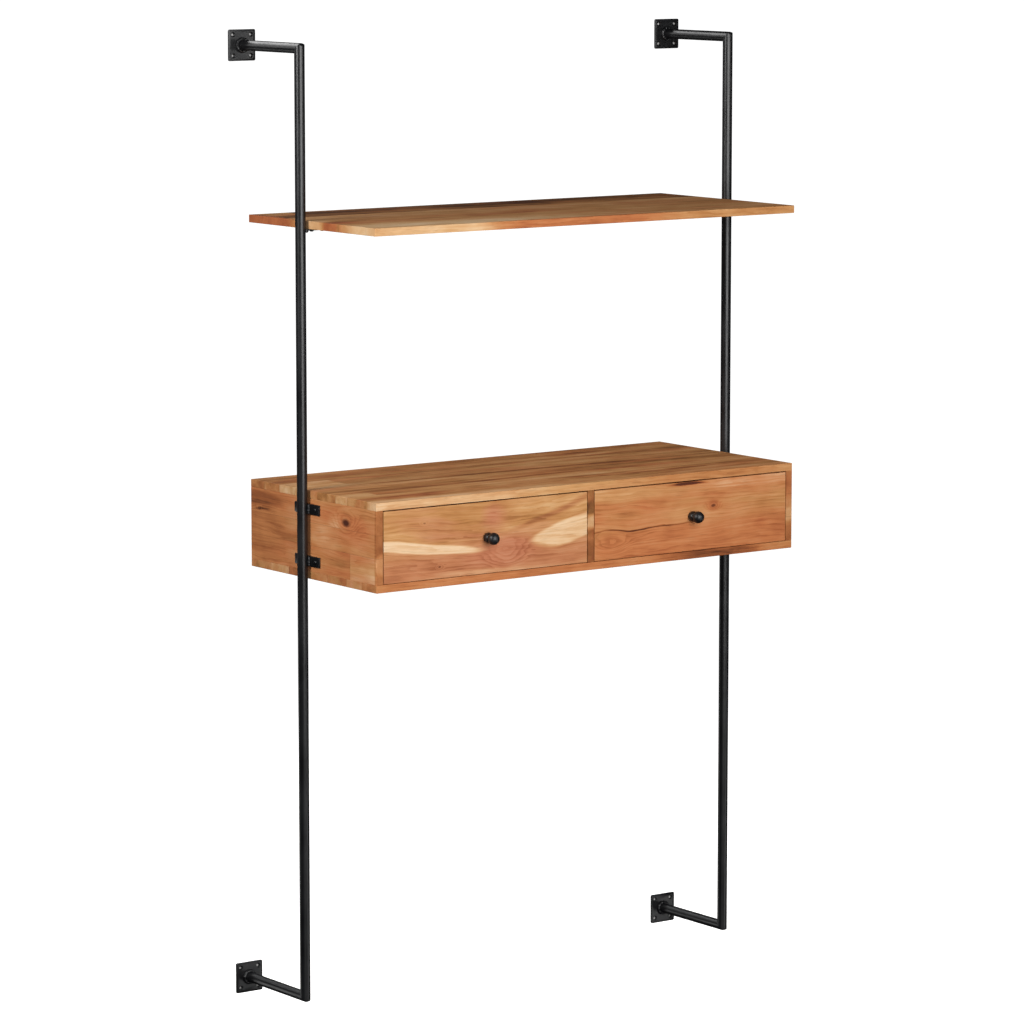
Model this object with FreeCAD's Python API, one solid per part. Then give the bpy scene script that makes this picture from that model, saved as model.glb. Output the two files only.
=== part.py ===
import FreeCAD, Part
import math
import os

# Floating wall desk: two welded C-shaped tube frames carry a shelf and a two-drawer desk case.
# Millimetres. X runs along the wall, the wall is the plane Y = 0, the front faces -Y, Z is up.
# The origin lies on the wall plane, midway between the four wall plates.

V = FreeCAD.Vector
ORIGIN = V(0, 0, 0)
X_AXIS = V(1, 0, 0)
Y_AXIS = V(0, 1, 0)
Z_AXIS = V(0, 0, 1)

# Steel tube frames
tube_d = 20.0
tube_wall = 2.5
frame_height = 1820.0       # between the centre lines of the two arms
tube_setback = 202.0        # centre line of the upright, out from the wall
corner_trim = 3.2           # ground off the sharp tip of each mitred corner

# Wall plates
plate_size = 60.0
plate_t = 4.0
plate_corner_r = 3.0
plate_hole_d = 5.0
plate_sink_d = 9.5          # mouth of each hole's right-angled countersink
plate_hole_edge = 10.0      # hole centre from the plate's edges
weld_leg = 4.5
weld_bulge = 0.7            # how far a bead swells past a straight fillet
weld_fit = 0.05             # between a weld bead and the tube it runs round

# Flat bars that are welded to the uprights and screwed to the case
tab_t = 3.0
tab_h = 20.0
tab_l = 84.0
tab_edge = 35.0             # bar's middle, from the case's top and bottom faces
tab_corner_r = 2.0
tab_screw_edge = 14.0       # screw centre from the bar's end
tab_weld_rise = 4.5         # where the bead ends on the tube, measured off the bar
tab_weld_toe = 4.0          # how far the bead spreads on the bar past that point
weld_root = 0.2             # between the bar and the tube at their nearest line

# Flat lugs that are welded to the uprights and screwed to the shelf from below
lug_t = 3.0
lug_w = 20.0
lug_reach = 58.0            # from the upright's centre line to the lug's inner end
lug_saddle = 6.0            # from the upright's centre line to the ends of the lug's hollow
lug_screw_edge = 9.0        # inner screw centre from the lug's inner end
lug_screw_inset = 12.0      # outer screw centre from the shelf's end

# Round-head wood screws for bars and lugs
wood_screw_d = 4.0
wood_screw_head_d = 8.0
wood_screw_head_h = 2.6
screw_cover = 4.0           # wood left beyond a screw's point
screw_fit = 0.05            # between a screw or pin and its hole
hole_spare = 0.5            # spare depth at the end of a blind hole
overcut = 1.0               # how far a cutter runs past the face it starts from

# Desk case of edge-glued boards
case_width = 1000.0
case_depth = 430.0
case_height = 170.0
case_bottom_z = -96.0
board_t = 15.0
arris_r = 0.8               # eased edges of every board
wall_gap = 2.0              # behind the case and the shelf

# Thin panel in a rebate round the back of the case
back_t = 6.0
back_lap = 7.0              # rebate's depth into each board
back_fit = 0.5
pin_d = 1.6
pin_head_d = 3.2
pin_head_h = 0.6
pin_bite = 12.0
pin_count = 5               # along the top edge, and again along the bottom edge
pin_end = 60.0              # first and last pin from the panel's ends

# Dowels that hold the case's upright boards to its top and bottom boards
dowel_d = 8.0
dowel_l = 25.0
dowel_cover = 5.0           # wood left over the end of a dowel's hole in the top or bottom board
dowel_fit = 0.1
dowel_count = 3
dowel_edge = 52.0           # first and last dowel from the case's front and back

# Shelf board above the case
shelf_bottom_z = 571.0
shelf_depth = 430.0
shelf_t = 15.0

# Inset drawers
front_t = 15.0
front_side_gap = 1.5
front_top_gap = 2.0
front_bottom_gap = 1.0
drawer_side_t = 12.0
drawer_side_gap = 2.5       # between the drawer's side and the bay
drawer_top_gap = 19.0       # over the drawer's sides, which stand lower than its front
drawer_back_t = 12.0
drawer_back_gap = 1.0       # between the closed drawer and the case's back panel
drawer_rear_lip = 8.0       # side left behind the drawer's back
housing_depth = 5.0         # drawer sides into the front, and drawer back into the sides
housing_fit = 0.1
bottom_t = 5.0
bottom_rise = 9.0           # drawer bottom's underside, above the sides' lower edges
groove_depth = 6.0
groove_fit = 0.2
bottom_pin_count = 3
bottom_pin_end = 36.0       # first and last pin from the drawer's sides

# Turned spool-shaped knobs
knob_base_d = 20.6
knob_base_h = 12.0
knob_neck_d = 15.0
knob_head_d = 23.4
knob_head_h = 18.0
knob_projection = 33.0
knob_foot_d = 17.6          # flat seat on the drawer front
knob_shoulder_d = 17.0      # where the base and the head pass into the neck
knob_rim_rise = 7.0         # widest line of the head, above its underside
knob_under_bulge = 1.2      # swell of the head's underside
knob_screw_d = 4.0
knob_screw_head_d = 8.0
knob_screw_head_h = 2.4
knob_screw_bite = 9.0       # screw's length inside the knob
knob_hole_spare = 2.0

# Values worked out from the sizes above
tube_r = tube_d / 2
arm_z = frame_height / 2
tube_x = case_width / 2 + tab_t + weld_root + tube_r
case_back_y = -wall_gap
case_front_y = case_back_y - case_depth
case_top_z = case_bottom_z + case_height
floor_z = case_bottom_z + board_t
ceiling_z = case_top_z - board_t
side_x = case_width / 2 - board_t
panel_y = case_back_y - back_t
bay_w = side_x - board_t / 2
bay_x = (side_x + board_t / 2) / 2
tab_z = (case_bottom_z + tab_edge, case_top_z - tab_edge)
plate_hole_offset = plate_size / 2 - plate_hole_edge


def box(low, high):
    """Rectangular block between its lowest and highest corners."""
    size = high - low
    return Part.makeBox(size.x, size.y, size.z, low)


def rod(start, direction, length, diameter):
    """Round bar or hole cutter."""
    return Part.makeCylinder(diameter / 2, length, start, direction)


def board(low, high):
    """Planed board with eased arrises."""
    block = box(low, high)
    return block.makeFillet(arris_r, block.Edges)


def spread(first, last, count):
    """Evenly spaced places from first to last."""
    return [first + (last - first) * i / (count - 1) for i in range(count)]


def outline_face(edges):
    """Flat face inside a closed chain of edges."""
    return Part.Face(Part.Wire([edge.toShape() for edge in edges]))


def polygon_face(points):
    """Flat face inside a closed polygon."""
    return Part.Face(Part.makePolygon(points + points[:1]))


def turned(edges, seat, outward):
    """Solid turned from a half outline in local X and Z, with local Z set along outward."""
    solid = outline_face(edges).revolve(ORIGIN, Z_AXIS, 360)
    placement = FreeCAD.Placement(seat, FreeCAD.Rotation(Z_AXIS, outward))
    return solid.transformed(placement.toMatrix())


def bulged_arc(start, end, bulge):
    """Arc in local X and Z that swells off its chord, to the right of its run."""
    chord = end - start
    right = V(chord.z, 0, -chord.x).normalize()
    return Part.Arc(start, (start + end) * 0.5 + right * bulge, end)


def dome_arc(rim_r, rim_z, crown_z):
    """Arc of a spherical dome, from its rim to its crown on the turning axis."""
    rise = crown_z - rim_z
    sphere_r = (rim_r ** 2 + rise ** 2) / (2 * abs(rise))
    centre_z = crown_z - math.copysign(sphere_r, rise)
    half_angle = math.atan2(rim_r, abs(rim_z - centre_z)) / 2
    middle = V(sphere_r * math.sin(half_angle), 0,
               centre_z + math.copysign(sphere_r * math.cos(half_angle), rise))
    return Part.Arc(V(rim_r, 0, rim_z), middle, V(0, 0, crown_z))


def round_head_screw(seat, inward, length, shank_d, head_d, head_h):
    """Screw with a domed head on its seat and a plain shank with a short point."""
    shank_r = shank_d / 2
    head_r = head_d / 2
    tip = V(0, 0, -length)
    neck = V(shank_r, 0, 0)
    shank_end = V(shank_r, 0, shank_r - length)
    edges = [
        Part.LineSegment(tip, shank_end),
        Part.LineSegment(shank_end, neck),
        Part.LineSegment(neck, V(head_r, 0, 0)),
        dome_arc(head_r, 0, head_h),
        Part.LineSegment(V(0, 0, head_h), tip),
    ]
    return turned(edges, seat, inward.negative())


def mirror_x(shape):
    """Same piece on the other side of the desk."""
    return shape.mirror(ORIGIN, X_AXIS)


def mirror_z(shape):
    """Same piece at the other end of the frame."""
    return shape.mirror(ORIGIN, Z_AXIS)


# Tube frames, built on the right-hand side

def tube(start, end):
    """Straight round tube between two points on its centre line."""
    run = end - start
    return rod(start, run, run.Length, tube_d).cut(rod(start, run, run.Length, tube_d - 2 * tube_wall))


def mitre_wedge(beyond):
    """Wedge on one side of the top mitre plane: beyond is 1 above the upright and -1 under the arm."""
    reach = 2 * tube_d
    y, z = -tube_setback, arm_z
    x = tube_x - tube_d
    apex = V(x, y + beyond * reach, z + beyond * reach)
    mitre = [V(x, y - reach, z + reach), V(x, y + reach, z - reach)]
    return polygon_face(mitre + [apex]).extrude(X_AXIS * (2 * tube_d))


def corner_tip():
    """What is ground off outside the top mitre, to a round nose about the corner's centre."""
    nose_r = math.sqrt(2) * tube_r - corner_trim
    corner = V(tube_x, -tube_setback, arm_z)
    block = box(corner - V(tube_d, tube_d, 0), corner + V(tube_d, 0, tube_d))
    return block.cut(rod(corner - X_AXIS * tube_d, X_AXIS, 2 * tube_d, 2 * nose_r))


def upright_tube():
    """Vertical tube with a mitre and a dressed corner at both ends."""
    overrun = V(0, 0, arm_z + tube_d)
    foot = V(tube_x, -tube_setback, 0)
    shape = tube(foot - overrun, foot + overrun)
    for cutter in (mitre_wedge(1), corner_tip()):
        shape = shape.cut(cutter).cut(mirror_z(cutter))
    return shape


def top_arm():
    """Horizontal tube from the wall plate to the mitre."""
    shape = tube(V(tube_x, -tube_setback - tube_d, arm_z), V(tube_x, -plate_t, arm_z))
    return shape.cut(mitre_wedge(-1)).cut(corner_tip())


def weld_ring():
    """Convex weld bead round the arm where it meets the plate."""
    inner_r = tube_r + weld_fit
    toe = V(inner_r + weld_leg, 0, 0)
    crest = V(inner_r, 0, weld_leg)
    root = V(inner_r, 0, 0)
    edges = [Part.LineSegment(root, toe), bulged_arc(toe, crest, weld_bulge), Part.LineSegment(crest, root)]
    return turned(edges, V(tube_x, -plate_t, arm_z), Y_AXIS.negative())


def countersunk_hole(place):
    """Cutter for a wall screw's hole, given by its middle on the wall, with a cone in the plate's front."""
    hole = rod(place + Y_AXIS * overcut, Y_AXIS.negative(), plate_t + 2 * overcut, plate_hole_d)
    mouth = place - Y_AXIS * (plate_t + overcut)
    mouth_r, hole_r = plate_sink_d / 2 + overcut, plate_hole_d / 2
    return hole.fuse(Part.makeCone(mouth_r, hole_r, mouth_r - hole_r, mouth, Y_AXIS))


def top_wall_plate():
    """Square plate with four countersunk screw holes and the bead that joins it to the arm."""
    centre = V(tube_x, 0, arm_z)
    half = V(plate_size / 2, 0, plate_size / 2)
    plate = box(centre - half - Y_AXIS * plate_t, centre + half)
    corners = [edge for edge in plate.Edges if abs(edge.tangentAt(edge.FirstParameter).y) > 0.5]
    plate = plate.makeFillet(plate_corner_r, corners)
    for dx in (-plate_hole_offset, plate_hole_offset):
        for dz in (-plate_hole_offset, plate_hole_offset):
            plate = plate.cut(countersunk_hole(centre + V(dx, 0, dz)))
    return plate.fuse(weld_ring()).removeSplitter()


def tab_screw_seats(z):
    """Screw heads' seats on one bar's outer face."""
    x = case_width / 2 + tab_t
    reach = tab_l / 2 - tab_screw_edge
    return [V(x, -tube_setback + dy, z) for dy in (-reach, reach)]


def case_tab(z):
    """Flat bar against the case's side, with the weld beads between it and the upright."""
    x = case_width / 2
    middle = V(x, -tube_setback, z)
    bar = box(middle - V(0, tab_l / 2, tab_h / 2), middle + V(tab_t, tab_l / 2, tab_h / 2))
    corners = [edge for edge in bar.Edges if abs(edge.tangentAt(edge.FirstParameter).x) > 0.5]
    bar = bar.makeFillet(tab_corner_r, corners)
    rise = tab_weld_rise - weld_root
    half = math.sqrt(tube_r ** 2 - (tube_r - rise) ** 2)
    face_x = x + tab_t
    low = z - tab_h / 2
    bead = polygon_face([
        V(face_x, -tube_setback - half - tab_weld_toe, low),
        V(face_x + tab_weld_rise, -tube_setback - half, low),
        V(face_x + tab_weld_rise, -tube_setback + half, low),
        V(face_x, -tube_setback + half + tab_weld_toe, low),
    ]).extrude(Z_AXIS * tab_h)
    upright = rod(V(tube_x, -tube_setback, low - overcut), Z_AXIS, tab_h + 2 * overcut, tube_d + 2 * weld_fit)
    shape = bar.fuse(bead).removeSplitter().cut(upright)
    for seat in tab_screw_seats(z):
        shape = shape.cut(screw_hole(seat, X_AXIS.negative(), tab_t))
    return shape


def screw_hole(seat, inward, depth):
    """Clear hole for a wood screw, cut from a little outside its seat."""
    return rod(seat - inward * overcut, inward, depth + 2 * overcut, wood_screw_d + 2 * screw_fit)


def wood_screw(seat, inward, metal_t, wood_t):
    """Wood screw through a bar or lug, ending short of the board's far face."""
    length = metal_t + wood_t - screw_cover
    return round_head_screw(seat, inward, length, wood_screw_d, wood_screw_head_d, wood_screw_head_h)


def lug_screw_seats():
    """Screw heads' seats under the shelf lug."""
    xs = (tube_x - lug_reach + lug_screw_edge, case_width / 2 - lug_screw_inset)
    return [V(x, -tube_setback, shelf_bottom_z - lug_t) for x in xs]


def shelf_lug():
    """Flat lug under the shelf, hollowed at its outer end to sit round the upright."""
    low = V(tube_x - lug_reach, -tube_setback - lug_w / 2, shelf_bottom_z - lug_t)
    high = V(tube_x - lug_saddle, -tube_setback + lug_w / 2, shelf_bottom_z)
    foot = V(tube_x, -tube_setback, low.z - overcut)
    upright = rod(foot, Z_AXIS, lug_t + 2 * overcut, tube_d + 2 * weld_fit)
    shape = box(low, high).cut(upright)
    for seat in lug_screw_seats():
        shape = shape.cut(screw_hole(seat, Z_AXIS, lug_t))
    return shape


# Shelf and desk case

def shelf_board():
    """Single board between the uprights, with screw holes over both lugs."""
    low = V(-case_width / 2, -wall_gap - shelf_depth, shelf_bottom_z)
    shape = board(low, V(case_width / 2, -wall_gap, shelf_bottom_z + shelf_t))
    for seat in lug_screw_seats():
        hole = rod(seat, Z_AXIS, lug_t + shelf_t - screw_cover + hole_spare, wood_screw_d + 2 * screw_fit)
        shape = shape.cut(hole).cut(mirror_x(hole))
    return shape


def dowel_places(x):
    """Lower ends of the dowels in one upright board, bottom joint then top joint."""
    buried = board_t - dowel_cover - hole_spare
    ys = spread(case_back_y - dowel_edge, case_front_y + dowel_edge, dowel_count)
    return [V(x, y, z) for z in (floor_z - buried, ceiling_z + buried - dowel_l) for y in ys]


def upright_board_places():
    """Middles of the two side panels and of the divider, along X."""
    middle = side_x + board_t / 2
    return (-middle, 0, middle)


def case_dowels():
    """All dowels of the case."""
    return [rod(p, Z_AXIS, dowel_l, dowel_d) for x in upright_board_places() for p in dowel_places(x)]


def dowel_holes(x):
    """Cutters for the dowel holes at one upright board."""
    drop = Z_AXIS * hole_spare
    depth = dowel_l + 2 * hole_spare
    return [rod(place - drop, Z_AXIS, depth, dowel_d + 2 * dowel_fit) for place in dowel_places(x)]


def back_panel_block(spare):
    """Back panel's block, grown by a clearance on its four edges."""
    half = side_x + back_lap - back_fit + spare
    lap = back_lap - back_fit + spare
    return box(V(-half, panel_y, floor_z - lap), V(half, case_back_y, ceiling_z + lap))


def back_pin_places():
    """Heads of the pins round the back panel."""
    reach = side_x - pin_end
    lap = back_lap / 2
    xs = spread(-reach, reach, pin_count)
    return [V(x, case_back_y, z) for z in (floor_z - lap, ceiling_z + lap) for x in xs]


def panel_pin(place, inward, length):
    """Small flat-headed pin."""
    head = rod(place - inward * pin_head_h, inward, pin_head_h, pin_head_d)
    return rod(place, inward, length, pin_d).fuse(head)


def pin_hole(place, inward, length):
    """Cutter for a pin's hole."""
    return rod(place - inward * pin_head_h, inward, length + pin_head_h + screw_fit, pin_d + 2 * screw_fit)


def case_board(z):
    """Top or bottom board of the case, over the whole width and depth."""
    half = case_width / 2
    shape = board(V(-half, case_front_y, z), V(half, case_back_y, z + board_t))
    shape = shape.cut(back_panel_block(back_fit))
    for x in upright_board_places():
        for hole in dowel_holes(x):
            shape = shape.cut(hole)
    for place in back_pin_places():
        shape = shape.cut(pin_hole(place, Y_AXIS.negative(), back_t + pin_bite))
    return shape


def case_side():
    """Right side panel, between the top and bottom boards."""
    low = V(side_x, case_front_y, floor_z)
    high = V(side_x + board_t, case_back_y, ceiling_z)
    shape = board(low, high).cut(back_panel_block(back_fit))
    for hole in dowel_holes(side_x + board_t / 2):
        shape = shape.cut(hole)
    for z in tab_z:
        for seat in tab_screw_seats(z):
            depth = tab_t + board_t - screw_cover + hole_spare
            shape = shape.cut(rod(seat, X_AXIS.negative(), depth, wood_screw_d + 2 * screw_fit))
    return shape


def centre_divider():
    """Upright board between the two drawers, stopping at the back panel."""
    half = board_t / 2
    shape = board(V(-half, case_front_y, floor_z), V(half, panel_y, ceiling_z))
    for hole in dowel_holes(0):
        shape = shape.cut(hole)
    return shape


def back_panel():
    """Thin panel in the rebate, pinned along its top and bottom edges."""
    shape = back_panel_block(0)
    for place in back_pin_places():
        shape = shape.cut(pin_hole(place, Y_AXIS.negative(), back_t))
    return shape


# One drawer, built about X = 0 and copied to both bays

drawer_half = bay_w / 2 - drawer_side_gap
drawer_top_z = ceiling_z - drawer_top_gap
front_inner_y = case_front_y + front_t
drawer_rear_y = panel_y - drawer_back_gap
drawer_back_y = drawer_rear_y - drawer_rear_lip
panel_low_z = floor_z + bottom_rise
panel_high_z = panel_low_z + bottom_t
knob_z = (floor_z + front_bottom_gap + ceiling_z - front_top_gap) / 2


def drawer_bottom_block(spare):
    """Drawer bottom's block, grown by a clearance in its grooves."""
    half = drawer_half - drawer_side_t + groove_depth - groove_fit + spare
    front = front_inner_y - groove_depth + groove_fit - spare
    return box(V(-half, front, panel_low_z - spare), V(half, drawer_rear_y + spare, panel_high_z + spare))


def drawer_side_block(spare):
    """Right drawer side's block, grown by a clearance in the front's housing."""
    low = V(drawer_half - drawer_side_t - spare, front_inner_y - housing_depth - spare, floor_z - spare)
    high = V(drawer_half + spare, drawer_rear_y, drawer_top_z + spare)
    return box(low, high)


def drawer_back_block(spare):
    """Drawer back's block, grown by a clearance in the sides' housings."""
    half = drawer_half - drawer_side_t + housing_depth + spare
    low = V(-half, drawer_back_y - drawer_back_t - spare, panel_high_z)
    return box(low, V(half, drawer_back_y + spare, drawer_top_z))


def drawer_front():
    """Inset front, housed for the sides, grooved for the bottom and bored for the knob's screw."""
    half = bay_w / 2 - front_side_gap
    low = V(-half, case_front_y, floor_z + front_bottom_gap)
    shape = board(low, V(half, front_inner_y, ceiling_z - front_top_gap))
    housing = drawer_side_block(housing_fit)
    for cutter in (housing, mirror_x(housing), drawer_bottom_block(groove_fit)):
        shape = shape.cut(cutter)
    bore_start = V(0, case_front_y - overcut, knob_z)
    return shape.cut(rod(bore_start, Y_AXIS, front_t + 2 * overcut, knob_screw_d + 2 * screw_fit))


def drawer_side():
    """Right side, grooved for the bottom and housed for the back, running on the case's bottom board."""
    shape = drawer_side_block(0).cut(drawer_bottom_block(groove_fit))
    return shape.cut(drawer_back_block(housing_fit))


def drawer_pin_places():
    """Heads of the pins up through the drawer bottom into the drawer back."""
    reach = drawer_half - bottom_pin_end
    y = drawer_back_y - drawer_back_t / 2
    return [V(x, y, panel_low_z) for x in spread(-reach, reach, bottom_pin_count)]


def drawer_back():
    """Back, standing on the bottom panel."""
    shape = drawer_back_block(0)
    for place in drawer_pin_places():
        shape = shape.cut(pin_hole(place, Z_AXIS, bottom_t + pin_bite))
    return shape


def drawer_bottom():
    """Thin panel that slides into the grooves from behind."""
    shape = drawer_bottom_block(0)
    for place in drawer_pin_places():
        shape = shape.cut(pin_hole(place, Z_AXIS, bottom_t))
    return shape


def knob():
    """Turned knob: domed base, waisted neck and rounded head, with a blind hole for its screw."""
    base_r, neck_r, head_r = knob_base_d / 2, knob_neck_d / 2, knob_head_d / 2
    shoulder_r = knob_shoulder_d / 2
    head_z = knob_projection - knob_head_h
    foot = V(knob_foot_d / 2, 0, 0)
    base_top = V(shoulder_r, 0, knob_base_h)
    head_under = V(shoulder_r, 0, head_z)
    head_rim = V(head_r, 0, head_z + knob_rim_rise)
    edges = [
        Part.LineSegment(ORIGIN, foot),
        Part.Arc(foot, V(base_r, 0, knob_base_h / 2), base_top),
        Part.Arc(base_top, V(neck_r, 0, (knob_base_h + head_z) / 2), head_under),
        bulged_arc(head_under, head_rim, knob_under_bulge),
        dome_arc(head_r, head_rim.z, knob_projection),
        Part.LineSegment(V(0, 0, knob_projection), ORIGIN),
    ]
    seat = V(0, case_front_y, knob_z)
    hole = rod(seat, Y_AXIS.negative(), knob_screw_bite + knob_hole_spare, knob_screw_d + 2 * screw_fit)
    return turned(edges, seat, Y_AXIS.negative()).cut(hole)


def knob_screw():
    """Screw from inside the drawer, through the front and into the knob."""
    length = front_t + knob_screw_bite
    seat = V(0, front_inner_y, knob_z)
    outward = Y_AXIS.negative()
    return round_head_screw(seat, outward, length, knob_screw_d, knob_screw_head_d, knob_screw_head_h)


def drawer_pieces():
    """Every piece of one drawer, by name."""
    side = drawer_side()
    pins = [panel_pin(place, Z_AXIS, bottom_t + pin_bite) for place in drawer_pin_places()]
    return {
        "front": drawer_front(),
        "left_side": mirror_x(side),
        "right_side": side,
        "back": drawer_back(),
        "bottom": drawer_bottom(),
        "bottom_pins": Part.makeCompound(pins),
        "knob": knob(),
        "knob_screw": knob_screw(),
    }


def frame_pieces():
    """Every piece of the right-hand frame, by name."""
    arm = top_arm()
    plate = top_wall_plate()
    lower_z, upper_z = tab_z
    inward = X_AXIS.negative()
    tab_screws = [wood_screw(seat, inward, tab_t, board_t) for z in tab_z for seat in tab_screw_seats(z)]
    lug_screws = [wood_screw(seat, Z_AXIS, lug_t, shelf_t) for seat in lug_screw_seats()]
    return {
        "upright_tube": upright_tube(),
        "top_arm": arm,
        "bottom_arm": mirror_z(arm),
        "top_wall_plate": plate,
        "bottom_wall_plate": mirror_z(plate),
        "upper_case_tab": case_tab(upper_z),
        "lower_case_tab": case_tab(lower_z),
        "shelf_lug": shelf_lug(),
        "case_tab_screws": Part.makeCompound(tab_screws),
        "shelf_lug_screws": Part.makeCompound(lug_screws),
    }


def case_pieces():
    """Every fixed wooden piece with its pins and dowels, by name."""
    side = case_side()
    pins = [panel_pin(place, Y_AXIS.negative(), back_t + pin_bite) for place in back_pin_places()]
    return {
        "shelf_board": shelf_board(),
        "case_top_board": case_board(ceiling_z),
        "case_bottom_board": case_board(case_bottom_z),
        "case_left_side": mirror_x(side),
        "case_right_side": side,
        "case_divider": centre_divider(),
        "case_back_panel": back_panel(),
        "case_dowels": Part.makeCompound(case_dowels()),
        "back_panel_pins": Part.makeCompound(pins),
    }


def all_nodes():
    """Every node of the desk, by name."""
    nodes = case_pieces()
    for name, shape in frame_pieces().items():
        nodes["right_" + name] = shape
        nodes["left_" + name] = mirror_x(shape)
    for name, shape in drawer_pieces().items():
        nodes["left_drawer_" + name] = shape.translated(V(-bay_x, 0, 0))
        nodes["right_drawer_" + name] = shape.translated(V(bay_x, 0, 0))
    return nodes


os.makedirs("parts", exist_ok=True)
for node, shape in all_nodes().items():
    if not shape.isValid():
        raise ValueError(node + " is not a valid shape")
    shape.exportStep("parts/" + node + ".step")
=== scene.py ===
"""Looks of the floating wall desk: oiled acacia boards carried by black powder-coated tube frames.

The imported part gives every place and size. Values named _mm are millimetres, and Blender works in metres.
"""

import logging
import math
import random
from abc import ABC, abstractmethod
from collections.abc import Callable
from dataclasses import dataclass, field
from enum import Enum
from itertools import product

import bmesh
import bpy
from mathutils import Matrix, Vector


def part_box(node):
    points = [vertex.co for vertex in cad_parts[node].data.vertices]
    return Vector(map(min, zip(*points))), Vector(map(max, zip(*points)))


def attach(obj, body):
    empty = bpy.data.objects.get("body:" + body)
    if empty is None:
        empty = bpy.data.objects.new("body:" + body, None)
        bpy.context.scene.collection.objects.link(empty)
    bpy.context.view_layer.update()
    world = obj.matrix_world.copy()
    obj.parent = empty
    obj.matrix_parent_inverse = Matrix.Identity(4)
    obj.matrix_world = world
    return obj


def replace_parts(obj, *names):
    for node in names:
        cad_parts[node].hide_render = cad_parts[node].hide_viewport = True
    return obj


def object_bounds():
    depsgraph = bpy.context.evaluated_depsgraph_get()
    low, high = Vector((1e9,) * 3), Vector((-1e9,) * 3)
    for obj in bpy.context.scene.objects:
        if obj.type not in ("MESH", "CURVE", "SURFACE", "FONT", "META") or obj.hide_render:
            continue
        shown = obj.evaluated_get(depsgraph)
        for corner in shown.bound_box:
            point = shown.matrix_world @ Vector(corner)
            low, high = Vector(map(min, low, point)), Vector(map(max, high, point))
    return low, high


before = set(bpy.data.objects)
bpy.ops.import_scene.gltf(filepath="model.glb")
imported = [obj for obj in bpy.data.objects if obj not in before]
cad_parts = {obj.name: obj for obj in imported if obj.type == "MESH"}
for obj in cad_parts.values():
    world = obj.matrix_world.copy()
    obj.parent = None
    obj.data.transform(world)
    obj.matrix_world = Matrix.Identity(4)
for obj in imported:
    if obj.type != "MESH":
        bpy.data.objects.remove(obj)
CAD_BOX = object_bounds()

MM = 0.001
HAIR = 1e-6  # metres within which two places count as one
THROUGH_MM = 9999.0  # longer than any board
RGBA = tuple[float, float, float, float]
Signal = bpy.types.Node | float

log = logging.getLogger("floating_wall_desk")


def linear(hex_colour: str) -> RGBA:
    """Turns an sRGB hex colour into linear values.

    Args:
        hex_colour: A hash sign and six hex digits.

    Returns:
        Linear red, green and blue, with an alpha of one.
    """
    shares = [int(hex_colour[i:i + 2], 16) / 255 for i in (1, 3, 5)]
    red, green, blue = (s / 12.92 if s <= 0.04045 else ((s + 0.055) / 1.055) ** 2.4 for s in shares)
    return red, green, blue, 1.0


class Recipe:
    """Node tree of a finish or of the backdrop, while it is laid out."""

    def __init__(self, owner: bpy.types.Material | bpy.types.World) -> None:
        """Empties the owner's node tree.

        Args:
            owner: The material or world that is laid out.
        """
        owner.use_nodes = True
        self.tree = owner.node_tree
        self.tree.nodes.clear()

    def add(self, kind: str, sockets: dict[int | str, object], **settings: object) -> bpy.types.Node:
        """Adds a node with its settings and links.

        Args:
            kind: The node's type, without its leading ShaderNode.
            sockets: What goes into each input, by number or name: a node, a socket or a value.
            **settings: The node's own properties, and stops and interpolation for a colour ramp.

        Returns:
            The new node.
        """
        node = self.tree.nodes.new("ShaderNode" + kind)
        for name, value in settings.items():
            if name == "stops":
                ramp = node.color_ramp.elements
                for index, (place, colour) in enumerate(value):
                    stop = ramp[index] if index < len(ramp) else ramp.new(place)
                    stop.position, stop.color = place, colour
            elif name == "interpolation":
                node.color_ramp.interpolation = value
            else:
                setattr(node, name, value)
        for key, value in sockets.items():
            entry = node.inputs[key] if isinstance(key, int) else next(
                s for s in node.inputs if s.enabled and s.name == key)
            if isinstance(value, bpy.types.Node):
                value = next(s for s in value.outputs if s.enabled)
            if isinstance(value, bpy.types.NodeSocket):
                self.tree.links.new(value, entry)
            else:
                entry.default_value = value
        return node


class Finish(ABC):
    """A surface finish that lays itself out as nodes."""

    title: str

    @abstractmethod
    def shader(self, recipe: Recipe, node: str) -> bpy.types.Node:
        """Lays out the finish.

        Args:
            recipe: The material's node tree.
            node: The CAD node whose corner and size the finish may follow.

        Returns:
            The shader node.
        """

    def build(self, node: str) -> bpy.types.Material:
        """Makes the finish's material.

        Args:
            node: The CAD node that wears it.

        Returns:
            The material.
        """
        material = bpy.data.materials.new(f"{self.title}_{node}")
        recipe = Recipe(material)
        recipe.add("OutputMaterial", {"Surface": self.shader(recipe, node)})
        return material


class Grain(Enum):
    """Axes of a board's grain, width and thickness."""

    FLAT = "XYZ"
    UPRIGHT = "XZY"
    ENDWISE = "YZX"


@dataclass(frozen=True)
class Stave:
    """One strip of a glued-up board.

    Tones run from 0, pale sapwood, to 1, dark heartwood. Past its butt joint, measured from the
    board's low end, a strip goes on in another piece with a tone of its own.
    """

    width_mm: float
    tone: float
    far_tone: float = 0.5
    joint_mm: float = THROUGH_MM


@dataclass(frozen=True)
class Streak:
    """A patch of sapwood, heart or stain, placed from the board's low corner.

    Its flush runs from 0, golden, to 1, red.
    """

    along_mm: float
    across_mm: float
    half_length_mm: float
    half_width_mm: float
    tone: float
    flush: float = 0.5
    turn_deg: float = 0.0
    blur: float = 0.3


@dataclass(frozen=True)
class Knot:
    """A knot or whorl that the grain flows round, placed from the board's low corner."""

    along_mm: float
    across_mm: float
    size_mm: float
    core: float = 1.0
    whorl: float = 2.0


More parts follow.
